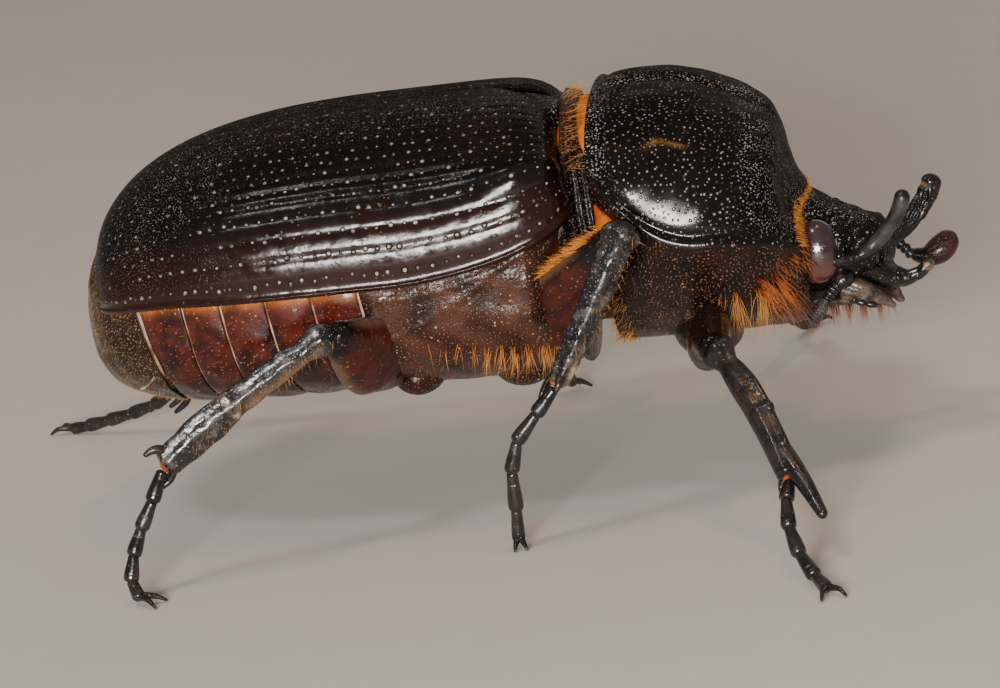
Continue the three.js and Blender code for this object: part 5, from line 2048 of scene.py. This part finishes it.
def coats() -> list[Coat]:
    """Lists the beetle's coats.

    Returns:
        The coats.
    """
    shape, trunk = ProthoraxOutline(), Trunk()
    rings = tuple(f"abdomen_{number}_plate" for number in (1, 2, 3, 4, 5))
    thighs = tuple(f"femur_middle_{side.word}_plate" for side in Side)
    shins = tuple(
        f"tibia_{pair.word}_{side.word}_shank" for pair in (Pair.MIDDLE, Pair.HIND) for side in Side
    )
    breast, belly = ("prosternum_plate",), ("metathorax_plate",)

    def clumps(x: Array, pitch: float) -> Array:
        """Gathers setae into clumps along the body."""
        return 0.06 + np.maximum(np.sin(math.tau * x / pitch + 2 * np.sin(0.9 * x)), 0)

    return [
        Coat("setae_collar", ("pronotum_shield",), Finish.ORANGE, 2600,
             lambda x, y, z, n: (x > shape.front - 0.3) & (n[..., 0] > 0.78) & (z > 8.9) & (z < 11.15),
             0.26, (1.0, 0.0, -0.2), (0, 0, -0.2), 0.05, 0.03, 0.012),
        Coat("setae_waist", ("mesothorax_plate",), Finish.GOLD, 620,
             lambda x, y, z, n: (z > 13.9) & (x > trunk.neck_seam + 0.1),
             0.75, (0.9, 0.1, 0.1), (0.2, 0.1, 0.1), 0.15, 0.26, 0.013),
        Coat("setae_throat", breast, Finish.RED, 170,
             lambda x, y, z, n: ((x > 10.3) & (x < 11.5) & (z < 9.0) & (z > 8.0)) * clumps(x, 0.5),
             1.35, (0.7, 0.3, -0.25), (0.05, -0.1, -0.9), 0.2, 0.26, 0.018),
        Coat("setae_cheeks", breast, Finish.RED, 200,
             lambda x, y, z, n: (x > 11.3) & (z < 9.6) & (z > 8.7) & (np.abs(y) > 2.4),
             0.6, (0.4, 0.5, -0.25), (-0.1, 0, -0.3), 0.2, 0.25, 0.016),
        Coat("setae_breast_front", breast, Finish.GOLD, 240,
             lambda x, y, z, n: ((x > 8.9) & (x < 10.9) & (z < 8.5) & (z > 7.2)) * clumps(x, 0.8),
             1.3, (0.1, 0.5, -0.8), (-0.1, -0.2, -0.5), 0.3, 0.28, 0.015),
        Coat("setae_breast_side", breast, Finish.PINK, 420,
             lambda x, y, z, n: ((z < 9.6) & (x > 5.6)) * clumps(x, 1.5),
             0.3, (-0.3, 0.2, -0.6), (0, 0, -0.3), 0.4, 0.3, 0.012),
        Coat("setae_breast_rear", breast, Finish.GOLD, 600,
             lambda x, y, z, n: (x < shape.rear + 0.7) & (z < 9.5),
             0.45, (-0.6, 0.3, -0.3), (-0.1, 0, -0.3), 0.4, 0.3),
        Coat("setae_chin", ("labium_plate",), Finish.PINK, 260,
             lambda x, y, z, n: (n[..., 2] < -0.2) * clumps(x, 0.75), 0.95, (0.0, 0.1, -0.9),
             (0.05, 0, -0.1), 0.2, 0.08, 0.024),
        Coat("setae_belly_fringe", belly, Finish.ORANGE, 420,
             lambda x, y, z, n: (np.abs(z - 7.3 + 0.15 * x) < 0.28) * (0.12 + smooth((x + 1.2) / 1.2))
             * clumps(x, 0.62) * (np.abs(x) < 2.8),
             0.85, (-0.1, 0.5, -0.8), (-0.1, -0.15, -0.4), 0.3, 0.24, 0.018),
        Coat("setae_belly_side", belly, Finish.PINK, 700,
             lambda x, y, z, n: (z < 9.2) * (x > -4.5) * clumps(x, 0.9),
             0.26, (-0.4, 0.1, -0.6), (0, 0, -0.3), 0.4, 0.25, 0.012),
        Coat("setae_thigh_rear", thighs, Finish.ORANGE, 1500,
             lambda x, y, z, n: (n @ (-0.8, 0, 0.6) > 0.82) & (np.abs(y) < 7.7),
             0.55, (-0.2, 0.3, -0.1), (-0.1, 0, -0.35), 0.8, 0.16),
        Coat("setae_thigh_hip", thighs, Finish.ORANGE, 800,
             lambda x, y, z, n: (n @ (-0.8, 0, 0.6) > 0.3) & (np.abs(y) < 5.4),
             0.9, (-0.5, 0.5, -0.8), (-0.1, 0, -0.4), 0.4, 0.2),
        Coat("setae_thigh_front", thighs, Finish.GOLD, 700,
             lambda x, y, z, n: (n @ (0.8, 0, -0.6) > 0.75) & (np.abs(y) < 7.4),
             0.4, (-0.5, 0.8, 0.1), (-0.3, 0, 0.1), 0.5, 0.2),
        Coat("setae_belly", rings, Finish.GOLD, 1800,
             lambda x, y, z, n: (z < 9.8) & (n[..., 2] < 0.3),
             0.2, (-0.9, 0.1, -0.2), (-0.2, 0, -0.2), 0.35, 0.3, 0.009),
        Coat("setae_tail", ("pygidium_plate",), Finish.GOLD, 2600,
             lambda x, y, z, n: n[..., 0] < -0.05, 0.15, (-0.4, 0, -0.5), (0, 0, -0.3), 0.5, 0.35, 0.009),
        Coat("setae_case_edges", tuple(f"elytron_{side.word}_case" for side in Side), Finish.ORANGE, 2600,
             lambda x, y, z, n: (n[..., 2] < -0.55) & (x < -5) & (z < 10.9),
             0.16, (-0.2, -0.5, -0.8), (0, 0, -0.3), 0.2, 0.25, 0.012),
        Coat("setae_shins", shins, Finish.GOLD, 560,
             lambda x, y, z, n: n[..., 2] < 0.1, 0.4, (-0.1, 0.2, -0.7), (0, 0, -0.2), 0.6, 0.3, 0.013),
    ]


# ---- studio


@dataclass(frozen=True)
class Studio:
    """The pale floor, the soft lights and the camera, sizes in millimetres and degrees."""

    target: tuple[float, float, float] = (-0.75, 0.0, 5.76)
    azimuth: float = 8.0
    elevation: float = 15.0
    roll: float = 8.0
    distance: float = 180.0
    lens: float = 156.5
    sky: Colour = (1.0, 0.94, 0.87)
    sky_strength: float = 0.26
    floor_dark: Colour = (0.62, 0.58, 0.53)
    floor_light: Colour = (0.66, 0.62, 0.57)

    def camera(self) -> None:
        """Places the camera, which leans with the beetle's slope."""
        spin, climb, lean = (math.radians(angle) for angle in (self.azimuth, self.elevation, self.roll))
        ahead = Vector(
            (-math.sin(spin) * math.cos(climb), math.cos(spin) * math.cos(climb), -math.sin(climb))
        )
        level = Vector((math.cos(spin), math.sin(spin), 0))
        upright = level.cross(ahead)
        right = level * math.cos(lean) - upright * math.sin(lean)
        up = level * math.sin(lean) + upright * math.cos(lean)
        data = bpy.data.cameras.new("camera")
        data.lens, data.clip_start = self.lens, 0.01
        camera = stand("camera", data)
        place = Vector(np.array(self.target) * MM + ORIGIN) - ahead * self.distance * MM
        turn = Matrix((right, up, -ahead)).transposed().to_4x4()
        camera.matrix_world = Matrix.Translation(place) @ turn
        bpy.context.scene.camera = camera

    def floor(self) -> None:
        """Lays a pale floor that sweeps up far behind."""
        sheet = bmesh.new()
        bmesh.ops.create_grid(sheet, x_segments=40, y_segments=80, size=1.0)
        for vertex in sheet.verts:
            far = max(vertex.co.y - 0.25, 0)
            vertex.co = Vector((vertex.co.x * 3, vertex.co.y * 2, 1.6 * far**2))
        floor = poured(sheet, bpy.data.meshes.new("floor"))
        paint = Paint("pale_floor")
        grain = paint.noise(2.5, 3.0)
        colour = paint.mix(grain, self.floor_dark, self.floor_light)
        floor.data.materials.append(paint.finish({"Base Color": colour}, {"Roughness": 0.75}))

    def lamp(self, name: str, place: tuple, size: tuple, power: float, tint: Colour = (1, 1, 1)) -> None:
        """Hangs a soft rectangular lamp that faces the beetle.

        Args:
            name: the lamp's name.
            place: its azimuth and elevation round the beetle in degrees, and its distance in millimetres.
            size: its width and height in millimetres.
            power: its power in watts.
            tint: its colour.
        """
        spin, climb, away = math.radians(place[0]), math.radians(place[1]), place[2] * MM
        way = Vector((math.sin(spin) * math.cos(climb), -math.cos(spin) * math.cos(climb), math.sin(climb)))
        data = bpy.data.lights.new(name, "AREA")
        data.shape, data.size, data.size_y = "RECTANGLE", size[0] * MM, size[1] * MM
        data.energy, data.color = power, tint
        lamp = stand(name, data)
        aim = Vector(ORIGIN) + Vector((0, 0, 0.01))
        lamp.location = aim + way * away
        lamp.rotation_euler = way.to_track_quat("Z", "Y").to_euler()

    def build(self) -> None:
        """Sets up the camera, the floor and the light."""
        self.camera()
        self.floor()
        world = bpy.data.worlds.new("studio")
        world.use_nodes = True
        background = world.node_tree.nodes["Background"]
        background.inputs["Color"].default_value = (*self.sky, 1)
        background.inputs["Strength"].default_value = self.sky_strength
        bpy.context.scene.world = world
        self.lamp("key_lamp", (-2, 12, 300), (104, 56), 1.35, (1.0, 0.96, 0.92))
        self.lamp("top_lamp", (60, 80, 320), (50, 20), 0.1, (1.0, 0.42, 0.1))
        self.lamp("left_lamp", (165, 26, 420), (320, 220), 0.08)
        self.lamp("side_lamp", (-38, 62, 300), (50, 40), 0.13, (0.94, 0.97, 1.0))


def main() -> None:
    """Builds the beetle from the trunk outwards, then the studio."""
    logging.basicConfig(level=logging.INFO, format="%(name)s %(message)s")
    Trunk().build()
    Prothorax().build()
    Head().build()
    for leg in legs():
        leg.build()
    for side in Side:
        Elytron(side).build()
    Scutellum().build()
    for coat in coats():
        coat.build()
    Studio().build()


if __name__ == "__main__":
    main()
